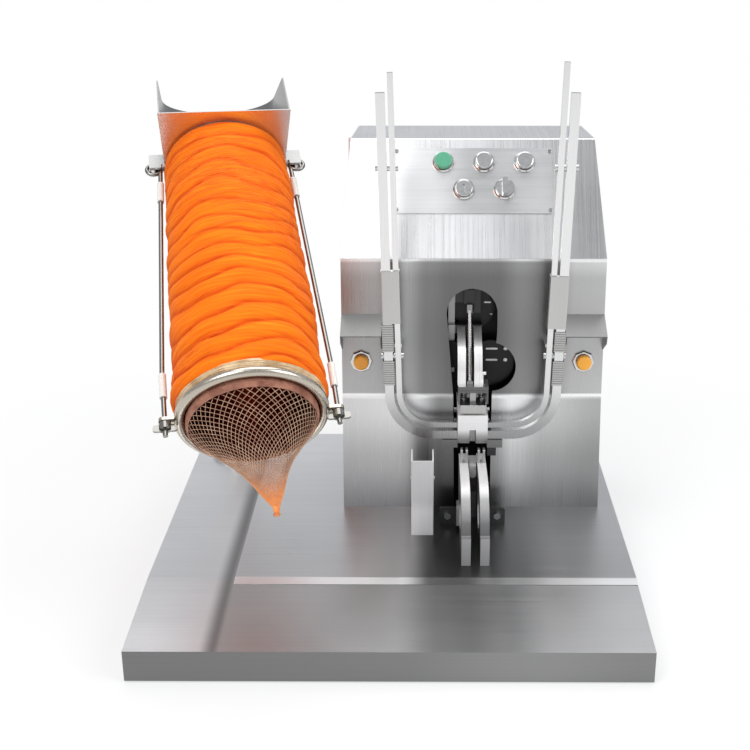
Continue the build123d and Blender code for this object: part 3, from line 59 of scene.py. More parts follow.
class Tree:
    """Short names for building one material's nodes."""

    def __init__(self, name):
        self.mat = bpy.data.materials.new(name)
        self.mat.use_nodes = True
        self.tree = self.mat.node_tree
        self.tree.nodes.clear()
        self.out = self.add("ShaderNodeOutputMaterial")
        self.bsdf = self.add("ShaderNodeBsdfPrincipled")
        self.link(self.bsdf.outputs["BSDF"], self.out.inputs["Surface"])
        self.coord = self.add("ShaderNodeTexCoord").outputs["Object"]

    def add(self, kind, **values):
        node = self.tree.nodes.new(kind)
        for key, value in values.items():
            setattr(node, key, value)
        return node

    def link(self, a, b):
        self.tree.links.new(a, b)

    def put(self, socket, value):
        if hasattr(value, "is_output"):
            self.link(value, socket)
        else:
            socket.default_value = value

    def scaled(self, scale, turn=(0, 0, 0)):
        node = self.add("ShaderNodeMapping")
        node.inputs["Scale"].default_value = scale
        node.inputs["Rotation"].default_value = turn
        self.link(self.coord, node.inputs["Vector"])
        return node.outputs["Vector"]

    def noise(self, vector, scale=1.0, detail=4.0, rough=0.55, warp=0.0):
        node = self.add("ShaderNodeTexNoise")
        self.link(vector, node.inputs["Vector"])
        node.inputs["Scale"].default_value = scale
        node.inputs["Detail"].default_value = detail
        node.inputs["Roughness"].default_value = rough
        node.inputs["Distortion"].default_value = warp
        return node.outputs["Fac"]

    def ramp(self, value, stops, ease="LINEAR"):
        node = self.add("ShaderNodeValToRGB")
        node.color_ramp.interpolation = ease
        ramp = node.color_ramp
        while len(ramp.elements) < len(stops):
            ramp.elements.new(1.0)
        for element, (place, colour) in zip(ramp.elements, stops):
            element.position = place
            if not hasattr(colour, "__len__"):
                colour = (colour, colour, colour)
            element.color = (*colour[:3], 1)
        self.link(value, node.inputs["Fac"])
        return node.outputs["Color"]

    def math(self, kind, a, b=0.0, c=0.0):
        node = self.add("ShaderNodeMath", operation=kind)
        for socket, value in zip(node.inputs, (a, b, c)):
            self.put(socket, value)
        return node.outputs[0]

    def span(self, value, a, b, c, d):
        node = self.add("ShaderNodeMapRange")
        for socket, item in zip(node.inputs, (value, a, b, c, d)):
            self.put(socket, item)
        return node.outputs[0]

    def mix(self, share, a, b, kind="MIX"):
        node = self.add("ShaderNodeMix", data_type="RGBA", blend_type=kind)
        self.put(node.inputs["Factor"], share)
        for socket, value in ((node.inputs[6], a), (node.inputs[7], b)):
            self.put(socket, value if hasattr(value, "is_output") else (*value[:3], 1))
        return node.outputs[2]

    def part(self, name):
        node = self.add("ShaderNodeSeparateXYZ")
        self.link(self.coord, node.inputs[0])
        return node.outputs[name]

    def facing(self, face):
        """1 on the faces that look the named way, from the surface's own direction, and on all for "any"."""
        node = self.add("ShaderNodeSeparateXYZ")
        self.link(self.add("ShaderNodeTexCoord").outputs["Normal"], node.inputs[0])
        if face in ("front", "low front", "high front"):
            front = self.span(node.outputs["Y"], -turned_away, -square_on, 0.0, 1.0)
            if face == "front":
                return front
            side_of_fold = (0.0, 1.0) if face == "high front" else (1.0, 0.0)
            return self.math("MULTIPLY", front, self.span(self.part("Z"), *cabinet_fold_z, *side_of_fold))
        if face == "back":
            return self.span(node.outputs["Y"], turned_away, square_on, 0.0, 1.0)
        if face == "side":
            return self.span(self.math("ABSOLUTE", node.outputs["X"]), turned_away, square_on, 0.0, 1.0)
        if face == "up":
            return self.span(node.outputs["Z"], turned_away, square_on, 0.0, 1.0)
        if face == "console":
            sloped = self.span(node.outputs["Z"], 0.30, 0.45, 0.0, 1.0)
            return self.math("MULTIPLY", sloped, self.span(node.outputs["Y"], -0.6, -0.8, 0.0, 1.0))
        return 1.0

    def bump(self, height, strength, distance):
        node = self.add("ShaderNodeBump")
        node.inputs["Strength"].default_value = strength
        node.inputs["Distance"].default_value = distance
        self.link(height, node.inputs["Height"])
        self.link(node.outputs["Normal"], self.bsdf.inputs["Normal"])


def steel_tree(name, tone, rough, brush="X", painted_light_runs=(), grain=0.05, bump=0.12, blotch=0.05, metal=1.0):
    """Brushed steel: fine lines along one axis and faint blotches. Each run paints light and shade as tones
    along an axis on some faces, or multiplies them where its fourth entry says so."""
    t = Tree(name)
    long, fine = 5.0, 900.0
    scales = {
        "X": (long, fine, fine),
        "Y": (fine, long, fine),
        "Z": (fine, fine, long),
        "YZ": (fine, long, long),
        "N": (260, 260, 260),
    }
    lines = t.noise(t.scaled(scales[brush]), detail=3.0)
    cloud = t.noise(t.scaled((5, 5, 5)), detail=3.0, warp=0.4)
    colour = tone if hasattr(tone, "__len__") else (tone, tone, tone * 0.985)
    for axis, face, stops, *times in painted_light_runs:
        low, high = stops[0][0], stops[-1][0]
        place = t.span(t.part(axis), low, high, 0.0, 1.0)
        run = t.ramp(place, [((p - low) / (high - low), v) for p, v in stops], "EASE")
        colour = t.mix(t.facing(face), colour, run, "MULTIPLY" if times else "MIX")
    streak = t.ramp(lines, ((0.25, 1 - 2 * grain), (0.75, 1.0)))
    shade = t.ramp(cloud, ((0.3, 1 - blotch), (0.7, 1.0)))
    colour = t.mix(1.0, colour, streak, "MULTIPLY")
    t.colour = t.mix(1.0, colour, shade, "MULTIPLY")
    t.link(t.colour, t.bsdf.inputs["Base Color"])
    t.bsdf.inputs["Metallic"].default_value = metal
    spread = t.span(lines, 0.3, 0.7, rough - 0.04, rough + 0.05)
    smear = t.span(cloud, 0.3, 0.7, -0.02, 0.03)
    t.link(t.math("ADD", spread, smear), t.bsdf.inputs["Roughness"])
    t.bump(lines, bump, 0.0002)
    return t


def steel(*args, **words):
    return steel_tree(*args, **words).mat


def black_with_slots(name, floors):
    """Blackened steel whose sunk slots, at the given depths, keep bright inlays."""
    t = steel_tree(name, 0.018, 0.35, "N", metal=0.6)
    depth = t.part("Y")
    tolerance = 0.0005
    inlay = 0.0
    for floor_y in floors:
        near = t.math("LESS_THAN", t.math("ABSOLUTE", t.math("SUBTRACT", depth, floor_y)), tolerance)
        inlay = t.math("MAXIMUM", near, inlay)
    inlay = t.math("MULTIPLY", inlay, t.facing("front"))
    t.link(t.mix(inlay, t.colour, (0.62, 0.62, 0.60)), t.bsdf.inputs["Base Color"])
    return t.mat


def plastic(name, colour, rough, speck=0.04, bump=0.08, coat=0.0):
    t = Tree(name)
    fine = t.noise(t.scaled((900, 900, 900)), detail=2.0)
    cloud = t.noise(t.scaled((30, 30, 30)), detail=2.0)
    low = tuple(c * (1 - speck) for c in colour)
    high = tuple(min(1.0, c * (1 + speck)) for c in colour)
    t.link(t.mix(cloud, low, high), t.bsdf.inputs["Base Color"])
    t.link(t.span(fine, 0.3, 0.7, rough - 0.04, rough + 0.06), t.bsdf.inputs["Roughness"])
    t.bsdf.inputs["Coat Weight"].default_value = coat
    t.bump(fine, bump, 0.0001)
    return t.mat


def dress(material, *names):
    for name in names:
        node = nodes[name]
        for slot in node.material_slots:
            slot.material = material
        if not node.material_slots:
            node.data.materials.append(material)


# Camera, floor and light

lens_mm = 60.0
sensor_mm = 36.0
image_width = 750.0
image_shift = -41.0
camera_place = (0.038, -1.564, 0.850)
camera_dip = 0.354
camera_swing = 0.005
floor_half = 8

data = bpy.data.cameras.new("camera")
data.lens = lens_mm
data.sensor_width = sensor_mm
data.shift_x = image_shift / image_width
camera = bpy.data.objects.new("camera", data)
camera.location = camera_place
camera.rotation_euler = (math.pi / 2 - camera_dip, 0.0, camera_swing)
scene.collection.objects.link(camera)
scene.camera = camera

mesh = bpy.data.meshes.new("floor")
floor_corners = [(x * floor_half, y * floor_half, 0) for x, y in ((-1, -1), (1, -1), (1, 1), (-1, 1))]
mesh.from_pydata(floor_corners, [], [(0, 1, 2, 3)])
floor = bpy.data.objects.new("floor", mesh)
scene.collection.objects.link(floor)
t = Tree("floor")
cloud = t.noise(t.scaled((2, 2, 2)))
t.link(t.ramp(cloud, ((0.3, 0.80), (0.7, 0.84))), t.bsdf.inputs["Base Color"])
t.bsdf.inputs["Roughness"].default_value = 0.9
t.bsdf.inputs["Specular IOR Level"].default_value = 0.1
paper = t.add("ShaderNodeEmission")
paper.inputs["Color"].default_value = (1, 1, 1, 1)
seen = t.add("ShaderNodeLightPath")
rays_in = t.math("MAXIMUM", seen.outputs["Is Camera Ray"], seen.outputs["Is Glossy Ray"])
rays_in = t.math("MAXIMUM", rays_in, seen.outputs["Is Transmission Ray"])
flat = t.scaled((1, 1, 0))
reach = t.add("ShaderNodeVectorMath", operation="LENGTH")
t.link(flat, reach.inputs[0])
shadow_reach = 0.42
white_reach = 0.95
share = t.span(reach.outputs["Value"], shadow_reach, white_reach, 0.55, 1.0)
blend = t.add("ShaderNodeMixShader")
t.link(t.math("MULTIPLY", share, rays_in), blend.inputs["Fac"])
t.link(t.bsdf.outputs["BSDF"], blend.inputs[1])
t.link(paper.outputs["Emission"], blend.inputs[2])
t.link(blend.outputs[0], t.out.inputs["Surface"])
floor.data.materials.append(t.mat)

world = bpy.data.worlds.new("studio")
scene.world = world
world.use_nodes = True
wt = world.node_tree
wt.nodes.clear()
out = wt.nodes.new("ShaderNodeOutputWorld")
plain = wt.nodes.new("ShaderNodeBackground")
plain.inputs["Color"].default_value = (0.93, 0.95, 1.0, 1)
plain.inputs["Strength"].default_value = 0.55
shown = wt.nodes.new("ShaderNodeBackground")
shown.inputs["Color"].default_value = (1, 1, 1, 1)
shown.inputs["Strength"].default_value = 1.0
rays = wt.nodes.new("ShaderNodeLightPath")
pick = wt.nodes.new("ShaderNodeMixShader")
bright_rays = wt.nodes.new("ShaderNodeMath")
bright_rays.operation = "MAXIMUM"
wt.links.new(rays.outputs["Is Camera Ray"], bright_rays.inputs[0])
wt.links.new(rays.outputs["Is Transmission Ray"], bright_rays.inputs[1])
wt.links.new(bright_rays.outputs[0], pick.inputs["Fac"])
wt.links.new(plain.outputs[0], pick.inputs[1])
wt.links.new(shown.outputs[0], pick.inputs[2])
wt.links.new(pick.outputs[0], out.inputs["Surface"])


def lamp(name, place, aim, size, power, tall=None):
    light = bpy.data.lights.new(name, "AREA")
    light.energy = power
    light.size = size
    if tall:
        light.shape = "RECTANGLE"
        light.size_y = tall
    ob = bpy.data.objects.new(name, light)
    ob.location = place
    ob.rotation_euler = (Vector(aim) - Vector(place)).to_track_quat("-Z", "Y").to_euler()
    scene.collection.objects.link(ob)


lamp("key", (-1.2, -1.5, 2.2), (0, 0, 0.25), 1.6, 34)
lamp("fill", (1.8, -1.0, 1.6), (0.1, 0, 0.3), 1.4, 22)
lamp("top", (0.0, 0.4, 2.4), (0.0, 0.0, 0.2), 1.8, 26)

# Materials of the rigid pieces

cam_slot_floors = (0.1015, 0.1107)
disc_slot_floors = (0.0895,)
# Painted shade and reflections on the base: tones along X on its top, dark beside the switch box and the jaw,
# and a darker front.
base_painted_shade = (
    ("X", "up", ((-0.312, 0.98), (-0.225, 0.95), (-0.206, 0.34), (-0.198, 0.60), (-0.12, 0.62), (0.0, 0.50),
                 (0.06, 0.26), (0.095, 0.24), (0.14, 0.34), (0.20, 0.56), (0.312, 0.66))),
    ("X", "front", ((-0.312, 0.22), (0.0, 0.24), (0.18, 0.30), (0.312, 0.26))),
)
# Painted highlight along the tray's front fold, and painted shade darkening the tray between the switch box
# and the jaw.
tray_painted_light = (
    ("Y", "up", ((-0.180, 0.98), (-0.1590, 0.98), (-0.1560, 0.66), (0.05, 0.76), (0.31, 0.90))),
    ("X", "up", ((-0.20, 1.2), (-0.06, 1.2), (0.01, 0.90), (0.050, 0.16), (0.092, 0.14), (0.124, 0.30),
                 (0.16, 0.45), (0.22, 0.85), (0.312, 0.95)), "times"),
)
# Painted light on the cabinet: highlights on the two front folds, dark and light reflection bands across the
# front facets and the console, painted shade between the switch box and the jaw, and a lighter top.
cabinet_painted_light = (
    ("Z", "front", ((0.055, 0.34), (0.12, 0.42), (0.2110, 0.66), (0.2135, 0.98), (0.2165, 0.98),
                    (0.2195, 0.30), (0.30, 0.26), (0.38, 0.30), (0.405, 0.40), (0.4085, 0.98),
                    (0.4120, 0.95), (0.557, 0.90))),
    ("X", "low front", ((-0.073, 1.3), (0.025, 1.5), (0.065, 0.5), (0.14, 1.0), (0.165, 1.7),
                        (0.210, 1.15), (0.289, 0.85)), "times"),
    ("X", "high front", ((-0.073, 1.75), (0.012, 1.6), (0.045, 0.85), (0.080, 0.65), (0.14, 0.65),
                         (0.175, 1.0), (0.205, 0.80), (0.250, 1.9), (0.289, 2.0)), "times"),
    ("X", "console", ((-0.073, 0.92), (0.10, 0.96), (0.17, 0.80), (0.289, 0.55))),
    ("Z", "up", ((0.5, 0.98), (0.56, 0.98))),
)
# Painted reflection: the control panel's console face darkens towards the right.
panel_painted_reflection = (
    ("X", "console", ((-0.002, 0.92), (0.05, 0.86), (0.11, 0.60), (0.20, 0.70), (0.217, 0.68))),
)
# Painted shade: the switch box's front darkens towards its top.
box_painted_shade = (("Z", "front", ((0.055, 1.0), (0.085, 0.98), (0.110, 0.72))),)
# Painted shade: the press arms darken where they rise into the cabinet's slot.
arm_painted_shade = (("Z", "any", ((0.16, 0.95), (0.285, 0.90), (0.305, 0.22), (0.36, 0.12))),)
carriage_tones = (("X", "any", ((0.050, 0.35), (0.083, 0.35), (0.0845, 0.06), (0.17, 0.06))),)
# Painted highlight: the crosshead's upward faces are set far lighter than the rest.
crosshead_painted_highlight = (("Z", "up", ((0.16, 0.90), (0.30, 0.90))),)
# Painted light and shade on the jaw plates: a dark band low on the front, a bright top edge, dark sides.
jaw_painted_shade = (
    ("Z", "front", ((0.055, 0.46), (0.0935, 0.50), (0.0955, 0.16), (0.112, 0.18), (0.122, 0.18),
                    (0.134, 0.30), (0.143, 0.86))),
    ("Z", "up", ((0.055, 0.60), (0.112, 0.15), (0.130, 0.30), (0.145, 0.95))),
    ("Z", "side", ((0.055, 0.14), (0.143, 0.30))),
)
# Painted light and shade on the head block: its front darkens towards the bottom, its sides are dark and its
# top light.
head_painted_shade = (
    ("Z", "front", ((0.160, 0.22), (0.172, 0.36), (0.186, 0.92), (0.205, 0.98))),
    ("Z", "up", ((0.16, 0.95), (0.205, 0.98))),
    ("Z", "side", ((0.16, 0.20), (0.205, 0.45))),
)
# Painted highlight: the rails' fronts lighten towards the top.
rail_painted_highlight = (("Z", "front", ((0.160, 0.62), (0.190, 0.55), (0.25, 0.80), (0.40, 0.92), (0.68, 0.96))),)
# Painted light and shade on the hopper: front faces set light, sides dark and darker lower down.
hopper_painted_light = (
    ("Z", "side", ((0.44, 0.15), (0.62, 0.27))),
    ("Z", "front", ((0.40, 0.98), (0.62, 0.98))),
)
dress(steel("base_steel", 0.50, 0.34, "X", base_painted_shade), "base_shell")
dress(steel("tray_steel", 0.50, 0.32, "X", tray_painted_light), "tray_plate")
dress(steel("cabinet_steel", 0.62, 0.30, "YZ", cabinet_painted_light), "cabinet_shell", "rear_cover")
dress(steel("panel_steel", 0.60, 0.33, "X", panel_painted_reflection), "control_panel")
dress(steel("hood_steel", 0.21, 0.36, "YZ"), "button_hoods")
dress(steel("channel_sheet", 0.60, 0.30, "X"), "base_channels")
dress(steel("bracket_steel", 0.16, 0.32, "Z"), "fixing_angles")
dress(steel("box_steel", 0.95, 0.34, "Z", box_painted_shade, metal=0.1), "switch_box_cover")
dress(steel("tube_steel", 0.60, 0.28, "Y"), "tube_stand")
dress(steel("hopper_steel", 0.34, 0.30, "Z", hopper_painted_light, grain=0.09), "hopper")
dress(steel("rail_steel", 0.60, 0.24, "Z", rail_painted_highlight), "clip_rail_left", "clip_rail_right")
dress(steel("weight_steel", 0.60, 0.26, "Z"), "clip_weight_left", "clip_weight_right")
dress(steel("clip_wire", 0.50, 0.25, "N"), "clip_sticks")
dress(steel("machined", 0.36, 0.30, "X"), "head_side_bars")
dress(steel("cap_steel", 0.60, 0.30, "X"), "head_cap_plate")
dress(steel("crosshead_steel", 0.17, 0.28, "X", crosshead_painted_highlight), "crosshead")
dress(steel("head_bright", 0.70, 0.34, "X", head_painted_shade, metal=0.3), "head_block")
dress(steel("jaw_steel", 0.50, 0.42, "X", jaw_painted_shade, metal=0.45), "jaw_plates")
dress(steel("arm_steel", 0.95, 0.30, "YZ", arm_painted_shade, metal=0.5), "press_arms")
dress(steel("machined_upright", 0.46, 0.26, "Z"), "punch", "guide_fingers")
dress(steel("die_steel", 0.80, 0.30, "N", metal=0.5), "clip_die")
dress(steel("carriage_steel", 0.16, 0.40, "Z", carriage_tones), "ram_carriage")
dress(steel("plated", 0.74, 0.18, "N", bump=0.03), "button_bezels", "round_button_left", "round_button_right",
      "key_switch", "selector_knob", "frame_bolts", "rail_fasteners", "ram_pins", "shaft_bearings")
dress(steel("rod_steel", (0.30, 0.29, 0.27), 0.22, "N", bump=0.03),
      "tie_rods", "wing_nut_left", "wing_nut_right")
dress(steel("ring_steel", (0.58, 0.53, 0.45), 0.24, "N", bump=0.03), "mouth_ring")
dress(steel("screw_steel", 0.45, 0.25, "N", bump=0.03), "small_screws")
dress(steel("thread_steel", 0.30, 0.28, "N", bump=0.03), "adjusting_rod")
dress(steel("blackened", 0.035, 0.35, "N", metal=0.6), "cam_gear_shaft", "timing_gear_shaft", "cam_roller")
dress(black_with_slots("blackened_cam", cam_slot_floors), "press_cam")
dress(black_with_slots("blackened_disc", disc_slot_floors), "timing_disc")
dress(steel("drive_plate", 0.03, 0.5, "X"), "drive_frame")
dress(steel("cast", 0.42, 0.5, "N", bump=0.3), "gearmotor")
dress(plastic("black_plastic", (0.03, 0.03, 0.032), 0.42), "switch_blocks", "position_sensors", "cable_gland")
dress(plastic("rubber", (0.03, 0.03, 0.03), 0.7, bump=0.3), "rubber_feet")
dress(plastic("white_plastic", (0.74, 0.73, 0.68), 0.45), "rod_sleeves")
dress(plastic("green_lens", (0.09, 0.37, 0.22), 0.25, coat=0.5), "green_button")
dress(plastic("orange_cap", (0.95, 0.42, 0.035), 0.35, coat=0.3), "start_button_left", "start_button_right")

# Net tube frame: side, up and axis directions, the axis pointing down towards the operator

heading = math.radians(11.5)
dip = math.radians(32.7)
mouth = Vector((-0.1585, -0.221, 0.303))
tube_long = 0.419
along = Vector((math.sin(heading) * math.cos(dip), -math.cos(heading) * math.cos(dip), -math.sin(dip)))
aside = Vector((math.cos(heading), math.sin(heading), 0))
across = along.cross(aside)
rear = mouth - along * tube_long


def on_tube(angle, radius, run):
    return rear + aside * (radius * math.cos(angle)) + across * (radius * math.sin(angle)) + along * run


def soft(name, verts, faces, material, uvs=None, crease_shade=None):
    mesh = bpy.data.meshes.new(name)
    mesh.from_pydata(verts, [], faces)
    mesh.polygons.foreach_set("use_smooth", [True] * len(faces))
    if uvs:
        layer = mesh.uv_layers.new(name="UVMap")
        for loop in mesh.loops:
            layer.data[loop.index].uv = uvs[loop.vertex_index]
    if crease_shade:
        attribute = mesh.attributes.new("crease_shade", "FLOAT", "POINT")
        attribute.data.foreach_set("value", crease_shade)
    mesh.update()
    ob = bpy.data.objects.new(name, mesh)
    scene.collection.objects.link(ob)
    ob.data.materials.append(material)
    return ob


def strands(name, lines, radius, material, closed=False):
    """Fine threads or wire, as one mesh of thin tubes along the given lines."""
    verts = []
    faces = []
    sides = 5
    spare = Vector((0.31, 0.87, 0.38))
    for line in lines:
        count = len(line)
        first = len(verts)
        for i, point in enumerate(line):
            if closed:
                ahead = line[(i + 1) % count] - line[i - 1]
            else:
                ahead = line[min(i + 1, count - 1)] - line[max(i - 1, 0)]
            ahead.normalize()
            one = ahead.cross(spare).normalized()
            two = ahead.cross(one)
            for k in range(sides):
                turn = 2 * math.pi * k / sides
                verts.append(point + one * (radius * math.cos(turn)) + two * (radius * math.sin(turn)))
        rows = count if closed else count - 1
        for i in range(rows):
            for k in range(sides):
                p = first + i * sides
                q = first + ((i + 1) % count) * sides
                nxt = (k + 1) % sides
                faces.append((p + k, p + nxt, q + nxt, q + k))
        if not closed:
            faces.append(tuple(first + k for k in reversed(range(sides))))
            faces.append(tuple(first + (count - 1) * sides + k for k in range(sides)))
    return soft(name, verts, faces, material)


def wobble(x, y, z=0.0):
    return noise.noise(Vector((x, y, z)))


def net_material():
    t = Tree("orange_net")
    t.coord = t.add("ShaderNodeTexCoord").outputs["UV"]
    threads = t.noise(t.scaled((35, 1500, 1)), detail=4.0, rough=0.7)
    bundles = t.noise(t.scaled((14, 260, 1)), detail=4.0, warp=0.5)
    patches = t.noise(t.scaled((9, 30, 1)), detail=3.0)
    crease_shade = t.add("ShaderNodeAttribute", attribute_name="crease_shade").outputs["Fac"]
    light = t.ramp(bundles, (
        (0.3, (0.86, 0.14, 0.004)),
        (0.55, (0.92, 0.195, 0.005)),
        (0.75, (0.95, 0.27, 0.010)),
    ))
    painted_crease_colour = t.ramp(bundles, (
        (0.3, (0.50, 0.030, 0.003)),
        (0.7, (0.74, 0.070, 0.005)),
    ))
    # Painted shade: folds and the ends of the swags are mixed towards a darker red.
    colour = t.mix(t.math("MULTIPLY", crease_shade, 0.75), light, painted_crease_colour)
    colour = t.mix(t.span(patches, 0.5, 0.75, 0.0, 0.35), colour, (0.88, 0.13, 0.006))
    fleck = t.ramp(threads, ((0.3, 0.80), (0.55, 1.0)))
    colour = t.mix(1.0, colour, fleck, "MULTIPLY")
    t.link(colour, t.bsdf.inputs["Base Color"])
    t.bsdf.inputs["Roughness"].default_value = 0.62
    t.bsdf.inputs["Sheen Weight"].default_value = 0.02
    t.bsdf.inputs["Specular IOR Level"].default_value = 0.07
    height = t.math("ADD", t.math("MULTIPLY", threads, 0.5), bundles)
    t.bump(height, 0.6, 0.0012)
    return t.mat


def tube_material():
    """Bright steel outside; inside, the net's reflection and the tube's shade are painted in as dark brown.
    """
    t = steel_tree("net_tube_steel", 0.60, 0.28, "Y")
    outside_radius = 0.0744
    inside_radius = 0.0741
    offset = t.add("ShaderNodeVectorMath", operation="SUBTRACT")
    t.link(t.coord, offset.inputs[0])
    offset.inputs[1].default_value = mouth
    arm = t.add("ShaderNodeVectorMath", operation="CROSS_PRODUCT")
    t.link(offset.outputs["Vector"], arm.inputs[0])
    arm.inputs[1].default_value = along
    radius = t.add("ShaderNodeVectorMath", operation="LENGTH")
    t.link(arm.outputs["Vector"], radius.inputs[0])
    # Painted reflection and shade: the inner wall is coloured dark brown.
    inside = t.span(radius.outputs["Value"], outside_radius, inside_radius, 0.0, 1.0)
    t.link(t.mix(inside, t.colour, (0.42, 0.15, 0.08)), t.bsdf.inputs["Base Color"])
    return t.mat


def thread_material(name, dark, light, low=None):
    """Thread, with another colour low on the hanging net where one is given."""
    t = Tree(name)
    cloud = t.noise(t.scaled((60, 60, 60)), detail=3.0)
    fine = t.noise(t.scaled((1500, 1500, 1500)), detail=2.0)
    colour = t.ramp(cloud, ((0.35, dark), (0.65, light)))
    if low:
        low_starts_z = 0.245
        low_full_z = 0.215
        colour = t.mix(t.span(t.part("Z"), low_starts_z, low_full_z, 0.0, 1.0), colour, low)
    t.link(colour, t.bsdf.inputs["Base Color"])
    t.link(t.span(fine, 0.3, 0.7, 0.45, 0.65), t.bsdf.inputs["Roughness"])
    t.bump(fine, 0.4, 0.0002)
    return t.mat


def ring_lines(rows, points, spot):
    """Closed lines, one for each row: spot gives a point from the row's number and the angle."""
    return [[spot(n, 2 * math.pi * i / points) for i in range(points)] for n in range(rows)]


# Return springs under the crosshead, built at one length on the machine frame; on the real machine they
# shorten as the ram comes down

spring_turns = 5
spring_steps = 30
spring_wire = 0.0007
low, high = (Vector(corner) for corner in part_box("ram_springs"))
coil_radius = (high.y - low.y) / 2 - spring_wire
coil_y = (low.y + high.y) / 2
coils = []
for x in (low.x + coil_radius + spring_wire, high.x - coil_radius - spring_wire):
    line = []
    for i in range(spring_turns * spring_steps + 1):
        turn = 2 * math.pi * i / spring_steps
        rise = (high.z - low.z - 2 * spring_wire) * i / (spring_turns * spring_steps)
        beside, ahead = coil_radius * math.cos(turn), coil_radius * math.sin(turn)
        line.append(Vector((x + beside, coil_y + ahead, low.z + spring_wire + rise)))
    coils.append(line)
springs = strands("return_springs", coils, spring_wire, steel("spring_wire", 0.45, 0.3, "N"))
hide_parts("ram_springs")
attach(springs, "machine_frame")
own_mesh(springs)

# Net gathered on the tube: swags between creases that run round it, with finer rucks on them

net_rear_radius = 0.0795
net_swell = 0.0075
swag_pitch = 0.0270
swag_height = 0.0046
ruck_pitch = 0.0074
ruck_height = 0.0006
slow_height = 0.0015
net_start = 0.003
net_end = tube_long - 0.0125
rear_hem_radius = 0.0757
front_hem_radius = 0.079
uv_radius = 0.085
round_count = 300
run_count = 330
fade_rear = 6
fade_front = 10


def sleeve_radius(run):
    share = max(0.0, min(1.0, run / tube_long))
    return net_rear_radius + net_swell * share ** 1.2


def swag(angle, run):
    """How far the net stands out, and how much painted shade the spot gets: most in the fold of a swag, some
    in a ruck's hollow and late in a swag.
    """
    cx = math.cos(angle) * 0.9
    cy = math.sin(angle) * 0.9
    slow = 0.85 * wobble(cx * 0.9, cy * 0.9, run * 9)
    quick = 0.30 * wobble(cx * 2.0, cy * 2.0 + 7, run * 18)
    phase = run / swag_pitch + slow + quick
    lobe = abs(math.sin(math.pi * phase))
    tall = 0.5 + 0.9 * (wobble(cx * 1.4 + 3, cy * 1.4, run * 22) + 0.35)
    tall = max(0.12, min(1.25, tall))
    small = run / ruck_pitch + 1.6 * wobble(cx * 1.5 + 11, cy * 1.5, run * 26)
    ripple = abs(math.sin(math.pi * small)) ** 0.9
    low_down = 0.45 + 0.55 * min(1.0, run / tube_long * 1.3)
    out = swag_height * low_down * tall * lobe ** 0.55 + ruck_height * ripple
    out += slow_height * wobble(cx * 1.2, cy * 1.2 + 20, run * 8)
    late = phase - math.floor(phase)
    # Painted shade: darker in the folds between swags, in the rucks' hollows and towards the end of each
    # swag.
    depth = max(0.0, 1 - lobe ** 0.6 * 1.35) * (0.5 + 0.6 * tall)
    depth = depth + 0.12 * max(0.0, 0.3 - ripple) + 0.30 * late ** 2.5
    return out, max(0.0, min(1.0, depth))


verts, uvs, crease_shade = [], [], []
for j in range(run_count + 1):
    run = net_start + (net_end - net_start) * j / run_count
    fade = min(1.0, j / fade_rear, (run_count - j) / fade_front)
    for i in range(round_count):
        angle = 2 * math.pi * i / round_count
        out, depth = swag(angle, run)
        radius = sleeve_radius(run) + out * (0.35 + 0.65 * fade)
        if j == 0:
            radius = rear_hem_radius
        if j == run_count:
            radius = front_hem_radius
        drift = 0.004 * wobble(math.cos(angle) * 2, math.sin(angle) * 2, 40) * fade
        verts.append(on_tube(angle, radius, run + drift))
        uvs.append((angle * uv_radius, run))
        crease_shade.append(depth)
faces = []
for j in range(run_count):
    for i in range(round_count):
        k = (i + 1) % round_count
        p, q = j * round_count, (j + 1) * round_count
        faces.append((p + i, p + k, q + k, q + i))
dress(tube_material(), "net_tube")
net = soft("net_on_tube", verts, faces, net_material(), uvs, crease_shade)
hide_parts("net_sleeve")
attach(net, "machine_frame")

# Loose threads on the gathered net

loose_count = 230
loose_points = 22
golden_angle = 2.399
golden_share = 0.61803
loose = []
for n in range(loose_count):
    middle = 2 * math.pi * (0.5 + 0.5 * wobble(n * 1.37, 4.1)) + n * golden_angle
    spread = 0.5 + 0.9 * abs(wobble(n * 0.77, 9.3))
    run = net_start + 0.01 + (net_end - net_start - 0.03) * ((n * golden_share) % 1.0)
    slope = 0.010 * wobble(n * 2.1, 1.7)
    line = []
    for i in range(loose_points):
        share = i / (loose_points - 1) * 2 - 1
        angle = middle + spread * share
        here = run + slope * share + 0.003 * wobble(n * 3.3, share * 2)
        out, depth = swag(angle, here)
        lift = 0.0002 + 0.0010 * max(0.0, wobble(n * 5.1, share * 3 + 2))
        line.append(on_tube(angle, sleeve_radius(here) + out + lift, here))
    loose.append(line)
orange = thread_material("orange_thread", (0.88, 0.15, 0.006), (0.95, 0.27, 0.015))
fuzz = strands("net_threads", loose, 0.00022, orange)
fuzz.parent = net

# Beige hem strands behind the clamping ring

hem_rows = 16
hem_radius = 0.0868
hem_draw = 0.0045
hem_back = 0.0155
hem_wide = 0.0080


def hem_spot(n, angle):
    x, y = math.cos(angle), math.sin(angle)
    row = n / (hem_rows - 1)
    lift = 0.0012 * wobble(x * 3 + n, y * 3, n * 1.9)
    run = tube_long - hem_back + hem_wide * row + 0.0016 * wobble(x * 2, y * 2, n * 3.1)
    return on_tube(angle, hem_radius - hem_draw * row ** 2 + lift, run)


beige = thread_material("beige_thread", (0.50, 0.33, 0.17), (0.78, 0.60, 0.38))
hem = strands("net_front_strands", ring_lines(hem_rows, 160, hem_spot), 0.0009, beige, closed=True)
hem.parent = net

# Net over the mouth, drawn down to its knot

knot = mouth + Vector((0.027, -0.028, -0.104))
lip_run = tube_long + 0.0132
rim_radius = 0.0740
neck_radius = 0.0030
cells = 48
twist = 2.1
mesh_points = 50


